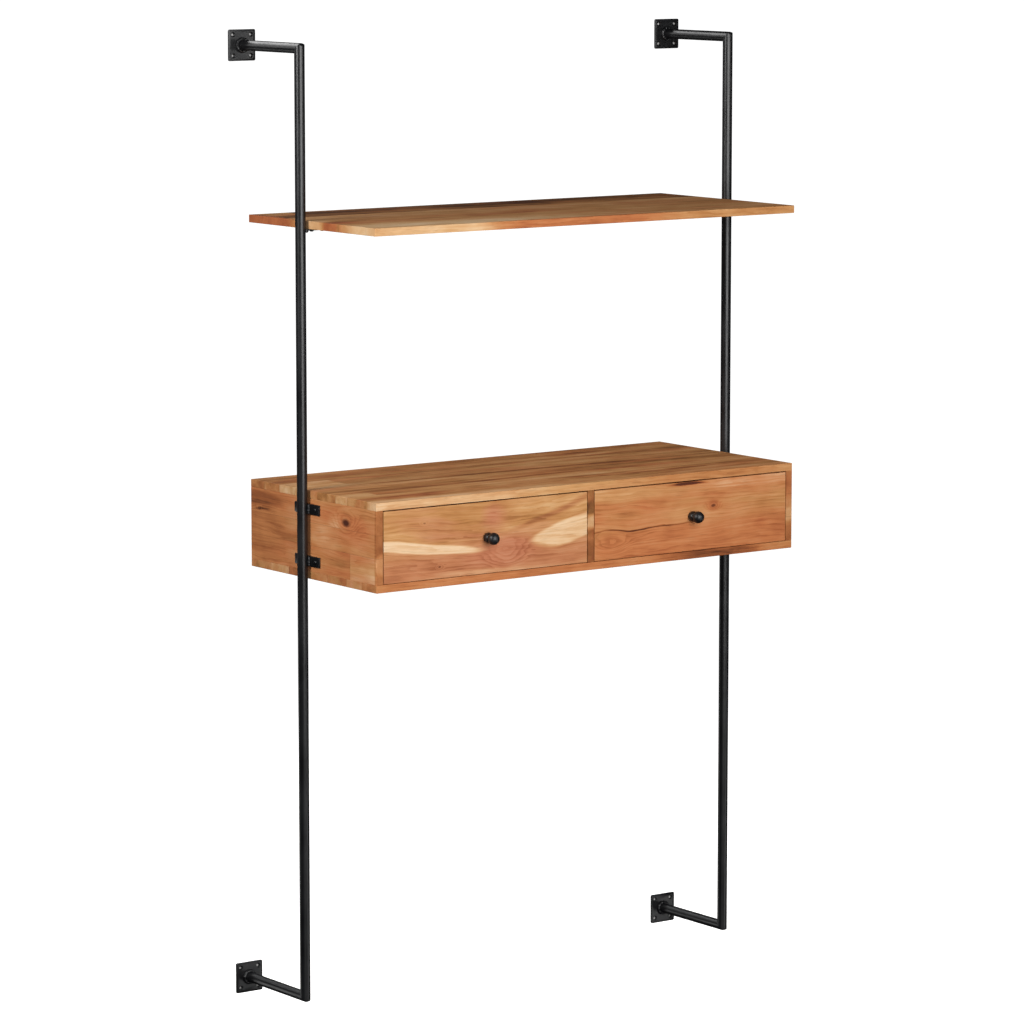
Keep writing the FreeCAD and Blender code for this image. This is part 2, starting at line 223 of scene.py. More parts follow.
class Fleck(Enum):
    """Marks of the wood: each one's length and width in millimetres, and its octaves of finer marks.

    Fibres and pores are drawn coarser than they are, so that they show.
    """

    SWAY = (420.0, 110.0, 2.0)
    WOBBLE = (95.0, 26.0, 2.0)
    RAGGED_RING = (150.0, 17.0, 4.0)
    STRONG_RING = (260.0, 38.0, 2.0)
    STREAK = (320.0, 26.0, 4.0)
    BLUSH = (190.0, 34.0, 3.0)
    CLOUD = (70.0, 32.0, 2.0)
    FIBRE = (130.0, 3.0, 4.0)
    PORE = (34.0, 1.1, 1.0)
    GLOSS = (130.0, 8.0, 3.0)


@dataclass
class BoardSpace:
    """A board's own coordinates in millimetres, counted from its low corner."""

    plain: bpy.types.Node
    along: bpy.types.NodeSocket
    across: bpy.types.NodeSocket
    length: float
    width: float
    end_axis: int


def board_space(recipe: Recipe, node: str, grain: Grain) -> BoardSpace:
    """Lays out the coordinates of a board along its grain.

    Args:
        recipe: The material being laid out.
        node: The board's CAD node.
        grain: How the board lies.

    Returns:
        The board's coordinates and sizes.
    """
    low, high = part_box(node)
    order = ["XYZ".index(letter) for letter in grain.value]
    length, width = ((high - low)[i] / MM for i in order[:2])
    coords = recipe.add("TexCoord", {}).outputs["Object"]
    placed = recipe.add("Mapping", {"Vector": coords, "Location": -low / MM, "Scale": (1 / MM,) * 3})
    parts = recipe.add("SeparateXYZ", {0: placed})
    along, across, depth = (parts.outputs[i] for i in order)
    plain = recipe.add("CombineXYZ", {0: along, 1: across, 2: depth})
    return BoardSpace(plain, along, across, length, width, order[0])


@dataclass(frozen=True)
class OiledAcacia(Finish):
    """Solid acacia, planed, glued up from staves and oiled.

    Its sapwood is the colour of straw and its heart golden to red brown, with a sharp edge between them.
    Broad growth rings, dark pore dashes and a satin, uneven gloss give it its figure.
    """

    grain: Grain
    staves: tuple[Stave, ...]
    streaks: tuple[Streak, ...] = ()
    knots: tuple[Knot, ...] = ()
    seed: int = 1
    flush: float = 0.5
    ring_mm: float = 8.0
    ring_depth: float = 0.1
    ring_unevenness: float = 3.2
    pith_mm: float = 130.0
    pith_slant: float = 0.035
    figure_depth: float = 0.14
    cloud_depth: float = 0.09
    fibre_depth: float = 0.085
    sway_mm: float = 16.0
    wobble_mm: float = 5.0
    burl_mm: float = 24.0
    knot_reach: tuple[float, float] = (4.5, 2.6)
    knot_push: float = 1.8
    glue_line_mm: float = 0.4
    log_mm: tuple[float, float, float] = (1900.0, 260.0, 190.0)
    title: str = "oiled_acacia"
    golden: tuple[str, ...] = ("#eccaa0", "#ddb17f", "#cb955f", "#b97f4a", "#936032", "#55341a")
    red: tuple[str, ...] = ("#eac6a0", "#dcaa80", "#cd8a5b", "#c27546", "#a25731", "#562a19")

    def marks(self, recipe: Recipe, board: bpy.types.Node, fleck: Fleck) -> bpy.types.Node:
        """Lays a noise drawn out along the grain.

        Args:
            recipe: The material being laid out.
            board: The board's own coordinates in millimetres.
            fleck: Which marks it draws.

        Returns:
            The noise node.
        """
        along_mm, across_mm, detail = fleck.value
        grain = recipe.add("Mapping", {
            "Vector": board,
            "Location": (self.seed * 3.1, self.seed * 7.7, self.seed * 1.3),
            "Scale": (1 / along_mm, 1 / across_mm, 1 / across_mm),
        })
        return recipe.add("TexNoise", {"Vector": grain, "Scale": 1.0, "Detail": detail})

    def glue_up(self, recipe: Recipe, space: BoardSpace) -> tuple[bpy.types.Node, ...]:
        """Splits the board into staves, each cut from another part of the log.

        Args:
            recipe: The material being laid out.
            space: The board's coordinates.

        Returns:
            The staves' tone, the place in the log, and the mask of the glue lines.
        """
        add = recipe.add
        dice = random.Random(self.seed)
        start, edges, tones, shifts = 0.0, [], [], []
        for stave in self.staves:
            joint = min(stave.joint_mm / space.length, 1.0)
            tones.append((start / space.width, (stave.tone, stave.far_tone, joint, 1.0)))
            shifts.append((start / space.width, (dice.random(), dice.random(), dice.random(), 1.0)))
            start += stave.width_mm
            edges.append(start)
        share = add("Math", {0: space.across, 1: space.width}, operation="DIVIDE")
        stave_map = add("ValToRGB", {0: share}, stops=tones, interpolation="CONSTANT")
        shift_map = add("ValToRGB", {0: share}, stops=shifts, interpolation="CONSTANT")
        near, far, joint_share = add("SeparateColor", {0: stave_map}).outputs
        joint_at = add("Math", {0: joint_share, 1: space.length}, operation="MULTIPLY")
        past_joint = add("Math", {0: space.along, 1: joint_at}, operation="GREATER_THAN")
        tone = add("Mix", {"Factor": past_joint, "A": near, "B": far})
        shift = add("VectorMath", {0: shift_map, 1: self.log_mm}, operation="MULTIPLY")
        far_piece_mm = (731.0, 57.0, 83.0)
        jump = add("VectorMath", {0: far_piece_mm, "Scale": past_joint}, operation="SCALE")
        shifted = add("VectorMath", {0: space.plain, 1: shift}, operation="ADD")
        in_log = add("VectorMath", {0: shifted, 1: jump}, operation="ADD")
        lines = add("Math", {0: space.along, 1: joint_at, 2: self.glue_line_mm}, operation="COMPARE")
        for edge in edges[:-1]:
            line = add("Math", {0: space.across, 1: edge, 2: self.glue_line_mm}, operation="COMPARE")
            lines = add("Math", {0: lines, 1: line}, operation="MAXIMUM")
        return tone, in_log, lines

    def part_grain(self, recipe: Recipe, space: BoardSpace,
                   in_log: bpy.types.Node) -> tuple[bpy.types.Node, Signal, Signal]:
        """Lets the grain sway, and part round the knots.

        Args:
            recipe: The material being laid out.
            space: The board's coordinates.
            in_log: The place in the log.

        Returns:
            The grain's drift as a vector, the rings that the knots add, and the mask of the knots' cores.
        """
        add = recipe.add
        swing = add("MapRange", {"Value": self.marks(recipe, in_log, Fleck.SWAY),
                                 3: -self.sway_mm, 4: self.sway_mm})
        wobble = add("MapRange", {"Value": self.marks(recipe, in_log, Fleck.WOBBLE),
                                  3: -self.wobble_mm, 4: self.wobble_mm})
        bent = add("Math", {0: swing, 1: wobble}, operation="ADD")
        whorls: Signal = 0.0
        cores: Signal = 0.0
        lumps = add("TexNoise", {"Vector": space.plain, "Scale": 1 / self.burl_mm, "Detail": 3.0})
        lump_mm = Vector((9.0, 5.0, 0.0))
        uneven = add("VectorMath", {0: lumps.outputs["Color"], 1: lump_mm, 2: space.plain},
                     operation="MULTIPLY_ADD")
        for knot in self.knots:
            eye = add("Mapping", {
                "Vector": uneven,
                "Location": Vector((knot.along_mm, knot.across_mm, 0.0)) + lump_mm / 2,
                "Scale": (*(knot.size_mm * reach for reach in self.knot_reach), THROUGH_MM),
            }, vector_type="TEXTURE")
            far = add("VectorMath", {0: eye}, operation="LENGTH").outputs["Value"]
            near = add("MapRange", {"Value": far, 1: 1.0, 2: 0.0}, interpolation_type="SMOOTHSTEP")
            push = add("Math", {0: add("SeparateXYZ", {0: eye}).outputs[1], 1: near}, operation="MULTIPLY")
            bent = add("Math", {0: push, 1: -knot.size_mm * self.knot_push, 2: bent},
                       operation="MULTIPLY_ADD")
            whorls = add("Math", {0: near, 1: knot.whorl, 2: whorls}, operation="MULTIPLY_ADD")
            core = add("MapRange", {"Value": far, 1: 0.3, 2: 0.1, 4: knot.core},
                       interpolation_type="SMOOTHSTEP")
            cores = add("Math", {0: cores, 1: core}, operation="MAXIMUM")
        return add("CombineXYZ", {1: bent}), whorls, cores

    def rings(self, recipe: Recipe, flowing: bpy.types.Node, whorls: Signal) -> bpy.types.Node:
        """Draws growth rings about a pith that lies off the board and slants through it.

        Args:
            recipe: The material being laid out.
            flowing: The place in the log, drifting with the grain.
            whorls: Rings that the knots add.

        Returns:
            The depth of the late wood's colour, which comes and goes along the board.
        """
        add = recipe.add
        length, width, depth = add("SeparateXYZ", {0: flowing}).outputs
        pith_across = add("Math", {0: width, 1: -self.pith_mm}, operation="ADD")
        pith_depth = add("Math", {0: length, 1: self.pith_slant, 2: depth}, operation="MULTIPLY_ADD")
        from_pith = add("CombineXYZ", {1: pith_across, 2: pith_depth})
        radius = add("VectorMath", {0: from_pith}, operation="LENGTH").outputs["Value"]
        count = add("Math", {0: radius, 1: 1 / self.ring_mm, 2: whorls}, operation="MULTIPLY_ADD")
        ragged = add("Math", {0: self.marks(recipe, flowing, Fleck.RAGGED_RING), 1: self.ring_unevenness,
                              2: count}, operation="MULTIPLY_ADD")
        phase = add("Math", {0: ragged}, operation="FRACT")
        late = add("MapRange", {"Value": phase, 1: 0.3, 2: 0.95}, interpolation_type="SMOOTHSTEP")
        shown = add("MapRange", {"Value": self.marks(recipe, flowing, Fleck.STRONG_RING), 1: 0.36, 2: 0.62,
                                 3: 0.15 * self.ring_depth, 4: self.ring_depth})
        return add("Math", {0: late, 1: shown}, operation="MULTIPLY")

    def patches(self, recipe: Recipe, drifting: bpy.types.Node, tone: bpy.types.Node,
                flush: bpy.types.Node) -> tuple[bpy.types.Node, bpy.types.Node]:
        """Lays the listed streaks over the wood.

        Args:
            recipe: The material being laid out.
            drifting: The board's coordinates, drifting with the grain.
            tone: The wood's tone.
            flush: Its share of red.

        Returns:
            Tone and flush with the streaks in them.
        """
        add = recipe.add
        for streak in self.streaks:
            spot = add("Mapping", {
                "Vector": drifting,
                "Location": (streak.along_mm, streak.across_mm, 0.0),
                "Rotation": (0.0, 0.0, math.radians(streak.turn_deg)),
                "Scale": (streak.half_length_mm, streak.half_width_mm, THROUGH_MM),
            }, vector_type="TEXTURE")
            reach = add("VectorMath", {0: spot}, operation="LENGTH").outputs["Value"]
            patch = add("MapRange", {"Value": reach, 1: 1.0 + streak.blur, 2: 1.0 - streak.blur},
                        interpolation_type="SMOOTHSTEP")
            tone = add("Mix", {"Factor": patch, "A": tone, "B": streak.tone})
            flush = add("Mix", {"Factor": patch, "A": flush, "B": streak.flush})
        return tone, flush

    def shader(self, recipe: Recipe, node: str) -> bpy.types.Node:
        """Lays out the wood of one board.

        Args:
            recipe: The material's node tree.
            node: The board's CAD node.

        Returns:
            The shader node.
        """
        add = recipe.add
        space = board_space(recipe, node, self.grain)
        tone, in_log, lines = self.glue_up(recipe, space)
        drift, whorls, cores = self.part_grain(recipe, space, in_log)
        flowing = add("VectorMath", {0: in_log, 1: drift}, operation="ADD")
        drifting = add("VectorMath", {0: space.plain, 1: drift}, operation="ADD")

        # Broad streaks of darker and redder wood, then the listed streaks
        broad = add("MapRange", {"Value": self.marks(recipe, flowing, Fleck.STREAK), 1: 0.3, 2: 0.7,
                                 3: -self.figure_depth, 4: self.figure_depth})
        streaked = add("Math", {0: tone, 1: broad}, operation="ADD")
        blush = add("MapRange", {"Value": self.marks(recipe, flowing, Fleck.BLUSH), 1: 0.32, 2: 0.68,
                                 3: self.flush - 0.5, 4: self.flush + 0.5})
        placed, flush = self.patches(recipe, drifting, streaked, blush)

        # Soft clouds of colour that lie across the grain's run
        clouded = add("MapRange", {"Value": self.marks(recipe, drifting, Fleck.CLOUD), 1: 0.3, 2: 0.7,
                                   3: -self.cloud_depth, 4: self.cloud_depth})
        placed = add("Math", {0: placed, 1: clouded}, operation="ADD")

        # On the end grain rings and flecks nearly vanish
        normal = add("NewGeometry", {}).outputs["True Normal"]
        end = add("Math", {0: add("SeparateXYZ", {0: normal}).outputs[space.end_axis]}, operation="ABSOLUTE")
        flecks = add("MapRange", {"Value": self.marks(recipe, flowing, Fleck.FIBRE), 1: 0.25, 2: 0.75,
                                  3: -self.fibre_depth, 4: self.fibre_depth})
        detail = add("Math", {0: flecks, 1: self.rings(recipe, flowing, whorls)}, operation="ADD")
        kept = add("MapRange", {"Value": end, 3: 1.0, 4: 0.25})
        figured = add("Math", {0: detail, 1: kept, 2: placed}, operation="MULTIPLY_ADD")
        ramps = [add("ValToRGB", {0: figured}, stops=[
            (index / (len(tones) - 1), linear(colour)) for index, colour in enumerate(tones)
        ]) for tones in (self.golden, self.red)]
        wood = add("Mix", {"Factor": flush, "A": ramps[0], "B": ramps[1]}, data_type="RGBA")

        # Open pores, glue lines, the duller end grain and the knots' cores
        pores = add("MapRange", {"Value": self.marks(recipe, flowing, Fleck.PORE), 1: 0.58, 2: 0.74})
        dark = add("Math", {0: lines, 1: 0.35}, operation="MULTIPLY")
        dark = add("Math", {0: pores, 1: 0.22, 2: dark}, operation="MULTIPLY_ADD")
        dark = add("Math", {0: end, 1: 0.1, 2: dark}, operation="MULTIPLY_ADD", use_clamp=True)
        shaded = add("Mix", {"Factor": dark, "A": wood, "B": linear("#4a2a18")}, data_type="RGBA")
        knotted = add("Mix", {"Factor": cores, "A": shaded, "B": linear("#4c2415")}, data_type="RGBA")

        # Satin oil that sinks into the pores
        gloss = add("MapRange", {"Value": self.marks(recipe, flowing, Fleck.GLOSS), 3: 0.56, 4: 0.76})
        rough = add("Math", {0: pores, 1: 0.15, 2: gloss}, operation="MULTIPLY_ADD", use_clamp=True)
        height = add("Math", {0: pores, 1: -1.0, 2: flecks}, operation="MULTIPLY_ADD")
        bump = add("Bump", {"Height": height, "Strength": 0.35, "Distance": 0.25 * MM})
        return add("BsdfPrincipled", {"Base Color": knotted, "Roughness": rough, "Normal": bump,
                                      "IOR": 1.5, "Specular IOR Level": 0.16})


@dataclass(frozen=True)
class Plywood(Finish):
    """Thin plywood: a calm, pale peeled face, and bands of long and end grain along its edges."""

    grain: Grain
    ply_mm: float = 1.7
    figure_mm: tuple[float, float] = (300.0, 45.0)
    pale: str = "#d9b88c"
    dark: str = "#b98d5f"
    title: str = "plywood"

    def shader(self, recipe: Recipe, node: str) -> bpy.types.Node:
        """Lays out the plies.

        Args:
            recipe: The material's node tree.
            node: The panel's CAD node.

        Returns:
            The shader node.
        """
        add = recipe.add
        space = board_space(recipe, node, self.grain)
        long, wide = self.figure_mm
        peeled = add("Mapping", {"Vector": space.plain, "Scale": (1 / long, 1 / wide, 1 / wide)})
        figure = add("TexNoise", {"Vector": peeled, "Scale": 1.0, "Detail": 5.0, "Distortion": 1.2})
        depth = add("SeparateXYZ", {0: space.plain}).outputs[2]
        ply = add("Math", {0: depth, 1: self.ply_mm}, operation="PINGPONG")
        band = add("MapRange", {"Value": ply, 1: 0.35 * self.ply_mm, 2: 0.65 * self.ply_mm, 4: 0.5})
        share = add("Math", {0: figure, 1: band}, operation="ADD", use_clamp=True)
        colour = add("ValToRGB", {0: share}, stops=[(0.3, linear(self.pale)), (0.9, linear(self.dark))])
        return add("BsdfPrincipled", {"Base Color": colour, "Roughness": 0.62, "IOR": 1.5})


@dataclass(frozen=True)
class BeechDowel(Finish):
    """Turned beech rod: pale pinkish wood with short dark flecks along the grain."""

    fleck_mm: float = 2.5
    title: str = "beech_dowel"

    def shader(self, recipe: Recipe, node: str) -> bpy.types.Node:
        """Lays out the flecks.

        Args:
            recipe: The material's node tree.
            node: The dowels' CAD node, whose place isn't needed.

        Returns:
            The shader node.
        """
        add = recipe.add
        coords = add("TexCoord", {}).outputs["Object"]
        fine = 1 / (self.fleck_mm * MM)
        stretched = add("Mapping", {"Vector": coords, "Scale": (4 * fine, 4 * fine, fine)})
        flecks = add("TexNoise", {"Vector": stretched, "Scale": 1.0, "Detail": 2.0})
        colour = add("ValToRGB", {0: flecks}, stops=[(0.45, linear("#d6b189")), (0.7, linear("#9c7450"))])
        return add("BsdfPrincipled", {"Base Color": colour, "Roughness": 0.6, "IOR": 1.5})


@dataclass(frozen=True)
class PowderCoat(Finish):
    """Steel with a baked black powder coat: satin, slightly pebbled like orange peel, a little dusty."""

    colour: str = "#0a0a0c"
    dusty: str = "#18191b"
    pebble_mm: float = 1.6
    dust_mm: float = 71.5
    roughness: float = 0.33
    title: str = "black_powder_coat"

    def shader(self, recipe: Recipe, node: str) -> bpy.types.Node:
        """Lays out the coat.

        Args:
            recipe: The material's node tree.
            node: A piece that wears the coat, whose place isn't needed.

        Returns:
            The shader node.
        """
        add = recipe.add
        coords = add("TexCoord", {}).outputs["Object"]
        dust = add("TexNoise", {"Vector": coords, "Scale": 1 / (self.dust_mm * MM), "Detail": 3.0})
        colour = add("ValToRGB", {0: dust}, stops=[(0.35, linear(self.colour)), (0.8, linear(self.dusty))])
        pebbles = add("TexNoise", {"Vector": coords, "Scale": 1 / (self.pebble_mm * MM), "Detail": 1.0})
        rough = add("MapRange", {"Value": dust, 1: 0.3, 2: 0.7, 3: self.roughness - 0.05,
                                 4: self.roughness + 0.06})
        bump = add("Bump", {"Height": pebbles, "Strength": 0.05, "Distance": 0.1 * MM})
        return add("BsdfPrincipled", {"Base Color": colour, "Roughness": rough, "Normal": bump, "IOR": 1.5})


@dataclass(frozen=True)
class KnobLacquer(Finish):
    """Turned metal under a smooth black lacquer that still shows faint rings from the lathe."""

    colour: str = "#0b0b0d"
    worn: str = "#1b1b1e"
    groove_mm: float = 1.2
    groove_relief: float = 0.05
    smudge_mm: float = 11.1
    title: str = "black_knob_lacquer"

    def shader(self, recipe: Recipe, node: str) -> bpy.types.Node:
        """Lays out the lacquer.

        Args:
            recipe: The material's node tree.
            node: The knob's CAD node, whose place isn't needed because the rings follow its axis.

        Returns:
            The shader node.
        """
        add = recipe.add
        coords = add("TexCoord", {}).outputs["Object"]
        depth = add("SeparateXYZ", {0: coords}).outputs[1]
        # Drawn coarser than the lathe's real feed so that the rings show
        grooves = add("Math", {0: depth, 1: self.groove_mm * MM}, operation="PINGPONG")
        smudge = add("TexNoise", {"Vector": coords, "Scale": 1 / (self.smudge_mm * MM), "Detail": 3.0})
        colour = add("ValToRGB", {0: smudge}, stops=[(0.4, linear(self.colour)), (0.75, linear(self.worn))])
        rough = add("MapRange", {"Value": smudge, 1: 0.3, 2: 0.7, 3: 0.38, 4: 0.48})
        bump = add("Bump", {"Height": grooves, "Strength": 0.1, "Distance": self.groove_relief})
        return add("BsdfPrincipled", {"Base Color": colour, "Roughness": rough, "Normal": bump, "IOR": 1.5})


@dataclass(frozen=True)
class ZincPlate(Finish):
    """Zinc-plated steel: bluish grey, finely scuffed."""

    scuff_mm: float = 1.1
    title: str = "zinc_plate"

    def shader(self, recipe: Recipe, node: str) -> bpy.types.Node:
        """Lays out the plating.

        Args:
            recipe: The material's node tree.
            node: A plated piece, whose place isn't needed.

        Returns:
            The shader node.
        """
        add = recipe.add
        coords = add("TexCoord", {}).outputs["Object"]
        scuffs = add("TexNoise", {"Vector": coords, "Scale": 1 / (self.scuff_mm * MM), "Detail": 4.0})
        colour = add("ValToRGB", {0: scuffs}, stops=[(0.4, linear("#8f9294")), (0.75, linear("#b9bcbe"))])
        rough = add("MapRange", {"Value": scuffs, 3: 0.27, 4: 0.45})
        return add("BsdfPrincipled", {"Base Color": colour, "Roughness": rough, "Metallic": 1.0})


class Element(Enum):
    """What is picked on a mesh."""

    EDGE = "EDGE"
    FACE = "FACE"


class Workpiece:
    """A new piece while it is modelled with Blender's own tools."""

    smooth_below: float = math.radians(35.0)

    def __init__(self, name: str) -> None:
        """Takes over the object that was just added, with its place in its mesh.

        Args:
            name: The piece's name.
        """
        self.body = bpy.context.object
        self.body.name = self.body.data.name = name
        bpy.ops.object.transform_apply(location=True, rotation=True, scale=True)

    @classmethod
    def start(cls, name: str, primitive: Callable[..., set[str]], **settings: object) -> "Workpiece":
        """Starts a piece from a primitive.

        Args:
            name: The piece's name.
            primitive: Blender's operator that adds it.
            **settings: The primitive's size and place.

        Returns:
            The piece, still a bare primitive.
        """
        bpy.ops.object.select_all(action="DESELECT")
        primitive(**settings)
        return cls(name)

    def hold(self) -> None:
        """Selects this piece alone."""
        bpy.ops.object.select_all(action="DESELECT")
        self.body.select_set(True)
        bpy.context.view_layer.objects.active = self.body

    def pick(self, element: Element, test: Callable[[Vector, Vector], bool]) -> None:
        """Goes into edit mode and selects edges or faces.

        Args:
            element: What to select.
            test: Says for a middle and an edge's run or a face's normal whether it is selected.
        """
        self.hold()
        bpy.ops.object.mode_set(mode="EDIT")
        bpy.ops.mesh.select_mode(type=element.value)
        bpy.ops.mesh.select_all(action="DESELECT")
        mesh = bmesh.from_edit_mesh(self.body.data)
        if element is Element.EDGE:
            for edge in mesh.edges:
                first, last = (corner.co for corner in edge.verts)
                edge.select_set(test((first + last) / 2, (last - first).normalized()))
        else:
            for face in mesh.faces:
                face.select_set(test(face.calc_center_median(), face.normal))
        bmesh.update_edit_mesh(self.body.data)

    def put_down(self) -> None:
        """Leaves edit mode."""
        bpy.ops.object.mode_set(mode="OBJECT")

    def round_edges(self, test: Callable[[Vector, Vector], bool], radius_mm: float, segments: int) -> None:
        """Rounds edges.

        Args:
            test: Says for an edge's middle and run whether it is rounded.
            radius_mm: Radius of the rounding.
            segments: Facets across it.
        """
        self.pick(Element.EDGE, test)
        bpy.ops.mesh.bevel(offset=radius_mm * MM, segments=segments, affect="EDGES")
        self.put_down()

    def modify(self, kind: str, **settings: object) -> None:
        """Adds a modifier and applies it.

        Args:
            kind: The modifier's type.
            **settings: Its properties.
        """
        self.hold()
        modifier = self.body.modifiers.new(kind.lower(), kind)
        for name, value in settings.items():
            setattr(modifier, name, value)
        bpy.ops.object.modifier_apply(modifier=modifier.name)

    def cut(self, cutter: "Workpiece") -> None:
        """Cuts another piece's shape out of this one, and removes the cutter."""
        self.modify("BOOLEAN", operation="DIFFERENCE", object=cutter.body, solver="EXACT")
        cutter.discard()

    def absorb(self, other: "Workpiece") -> None:
        """Joins another piece's mesh to this one.

        Args:
            other: The piece that goes into this one.
        """
        self.hold()
        other.body.select_set(True)
        bpy.ops.object.join()

    def melt(self, voxel_mm: float) -> None:
        """Melts overlapping lumps into one skin, as molten metal runs together.

        Args:
            voxel_mm: Size of the skin's facets.
        """
        self.modify("REMESH", mode="VOXEL", voxel_size=voxel_mm * MM, use_smooth_shade=True)
        self.modify("SMOOTH", factor=0.5, iterations=2)

    def copy(self, name: str, place: Matrix) -> "Workpiece":
        """Copies this piece to another place.

        Args:
            name: The copy's name.
            place: How the copy is turned and moved.

        Returns:
            The copy, with a mesh of its own.
        """
        self.hold()
        bpy.ops.object.duplicate(linked=False)
        bpy.context.object.matrix_world = place
        return Workpiece(name)

    def string_of(self, name: str, places: list[Matrix]) -> "Workpiece":
        """Copies this piece to several places and joins the copies.

        Args:
            name: The joined piece's name.
            places: How each copy is turned and moved.

        Returns:
            The joined piece.
        """
        first, *others = [self.copy(name, place) for place in places]
        for other in others:
            first.absorb(other)
        return first

    def fit(self, body: str, slot: str, finish: bpy.types.Material, node: str) -> None:
        """Finishes the piece and puts it in the place of its CAD node.

        Args:
            body: The CAD body that carries it.
            slot: Not used.
            finish: The piece's material.
            node: The CAD node that it stands for.
        """
        self.hold()
        bpy.ops.object.shade_smooth_by_angle(angle=self.smooth_below)
        self.body.data.materials.clear()
        self.body.data.materials.append(finish)
        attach(self.body, body)
        self.body
        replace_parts(self.body, node)
        log.info("modelled %s for %s", self.body.name, node)

    def discard(self) -> None:
        """Removes a pattern piece once its copies are made."""
        bpy.data.objects.remove(self.body)


def dress(node: str, material: bpy.types.Material) -> None:
    """Gives a CAD node its finish.

    Args:
        node: The CAD node.
        material: The finish's material.
    """
    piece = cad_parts[node]
    piece.data.materials.clear()
    piece.data.materials.append(material)
    log.info("dressed %s in %s", node, material.name)


@dataclass
class CrossScrew:
    """Round-headed screw with a cross recess, modelled once with its head along +Z and then copied."""

    head_d_mm: float = 8.0
    head_h_mm: float = 2.6
    shank_d_mm: float = 4.0
    length_mm: float = 14.0
    slot_l_mm: float = 4.4
    slot_w_mm: float = 1.1
    slot_depth_mm: float = 1.5
    slot_taper: float = 0.4
    dome_share: float = 0.8
    tip_share: float = 0.1
    turn_step: float = 0.7  # radians, as no two screws stop at the same angle
    pattern: Workpiece = field(init=False)

    def __post_init__(self) -> None:
        """Models the pattern screw."""
        self.pattern = self.blank()
        for turn in (0.0, math.pi / 2):
            self.pattern.cut(self.recess(turn))

    def blank(self) -> Workpiece:
        """Models the domed head and the shank with its point.

        Returns:
            Head and shank as one piece, without the recess.
        """
        top = self.head_h_mm * MM
        screw = Workpiece.start(
            "cross_screw", bpy.ops.mesh.primitive_cylinder_add, vertices=32, radius=self.head_d_mm / 2 * MM,
            depth=top, location=(0.0, 0.0, top / 2))
        screw.round_edges(lambda middle, run: middle.z > top - HAIR, self.dome_share * self.head_h_mm, 6)
        screw.pick(Element.FACE, lambda middle, normal: normal.z < -0.9)
        bpy.ops.mesh.inset(thickness=(self.head_d_mm - self.shank_d_mm) / 2 * MM)
        for length in (self.length_mm - self.shank_d_mm / 2, self.shank_d_mm / 2):
            bpy.ops.mesh.extrude_region_move(TRANSFORM_OT_translate={"value": (0.0, 0.0, -length * MM)})
        pointed = (self.tip_share, self.tip_share, 1.0)
        bpy.ops.transform.resize(value=pointed, center_override=(0.0, 0.0, 0.0))
        screw.put_down()
        return screw

    def recess(self, turn: float) -> Workpiece:
        """Models one tapered bar of the cross.

        Args:
            turn: Angle about the screw's axis, in radians.

        Returns:
            The cutter.
        """
        bar = Workpiece.start(
            "cross_recess", bpy.ops.mesh.primitive_cube_add, size=1.0,
            location=(0.0, 0.0, self.head_h_mm * MM), rotation=(0.0, 0.0, turn),
            scale=Vector((self.slot_l_mm, self.slot_w_mm, 2 * self.slot_depth_mm)) * MM)
        bar.pick(Element.FACE, lambda middle, normal: normal.z < -0.9)
        narrowed = (self.slot_taper, self.slot_taper, 1.0)
        bpy.ops.transform.resize(value=narrowed, center_override=(0.0, 0.0, 0.0))
        bar.put_down()
        return bar

    def set_of(self, name: str, seats: list[Vector], outward: Vector) -> Workpiece:
        """Copies the screw to several seats and joins the copies.

        Args:
            name: The set's name.
            seats: Middles of the heads' undersides.
            outward: Direction in which the heads point.

        Returns:
            The joined screws.
        """
        facing = outward.to_track_quat("Z", "Y").to_matrix().to_4x4()
        places = [Matrix.Translation(seat) @ facing @ Matrix.Rotation(self.turn_step * index, 4, "Z")
                  for index, seat in enumerate(seats)]
        return self.pattern.string_of(name, places)


@dataclass
class WeldBead:
    """Hand-laid weld bead: puddles of metal that ran together and froze as uneven ripples."""

    radius_mm: float = 3.3
    step_mm: float = 2.4
    skin_mm: float = 0.4
    unevenness: float = 0.12

    def lay(self, path_mm: list[Vector]) -> Workpiece:
        """Lays a bead.

        Args:
            path_mm: Middles of its puddles.

        Returns:
            The bead, melted into one skin.
        """
        puddle = Workpiece.start(
            "weld_puddle", bpy.ops.mesh.primitive_uv_sphere_add, segments=16, ring_count=10,
            radius=self.radius_mm * MM)
        dice = random.Random(len(path_mm))
        sizes = [1.0 + dice.uniform(-self.unevenness, self.unevenness) for _ in path_mm]
        bead = puddle.string_of("weld_bead", [
            Matrix.Translation(place * MM) @ Matrix.Scale(size, 4) for place, size in zip(path_mm, sizes)])
        puddle.discard()
        bead.melt(self.skin_mm)
        return bead

    def round_axis(self, start_mm: Vector, axis: str, angle: float) -> Workpiece:
        """Lays a bead round an axis through the origin.

        Args:
            start_mm: Middle of the first puddle.
            axis: Letter of the axis, which lies at right angles to the start.
            angle: How far the bead runs, in radians.

        Returns:
            The bead.
        """
        radius = start_mm.xy.length if axis == "Z" else start_mm.xz.length
        steps = round(abs(angle) * radius / self.step_mm)
        turns = [Matrix.Rotation(angle * index / steps, 3, axis) for index in range(steps + 1)]
        return self.lay([turn @ start_mm for turn in turns])

    def upward(self, start_mm: Vector, run_mm: float) -> Workpiece:
        """Lays a bead straight up.

        Args:
            start_mm: Middle of the lowest puddle.
            run_mm: Length between the first and the last puddle's middles.

        Returns:
            The bead.
        """
        steps = round(run_mm / self.step_mm)
        heights = [run_mm * index / steps for index in range(steps + 1)]
        return self.lay([start_mm + Vector((0.0, 0.0, height)) for height in heights])


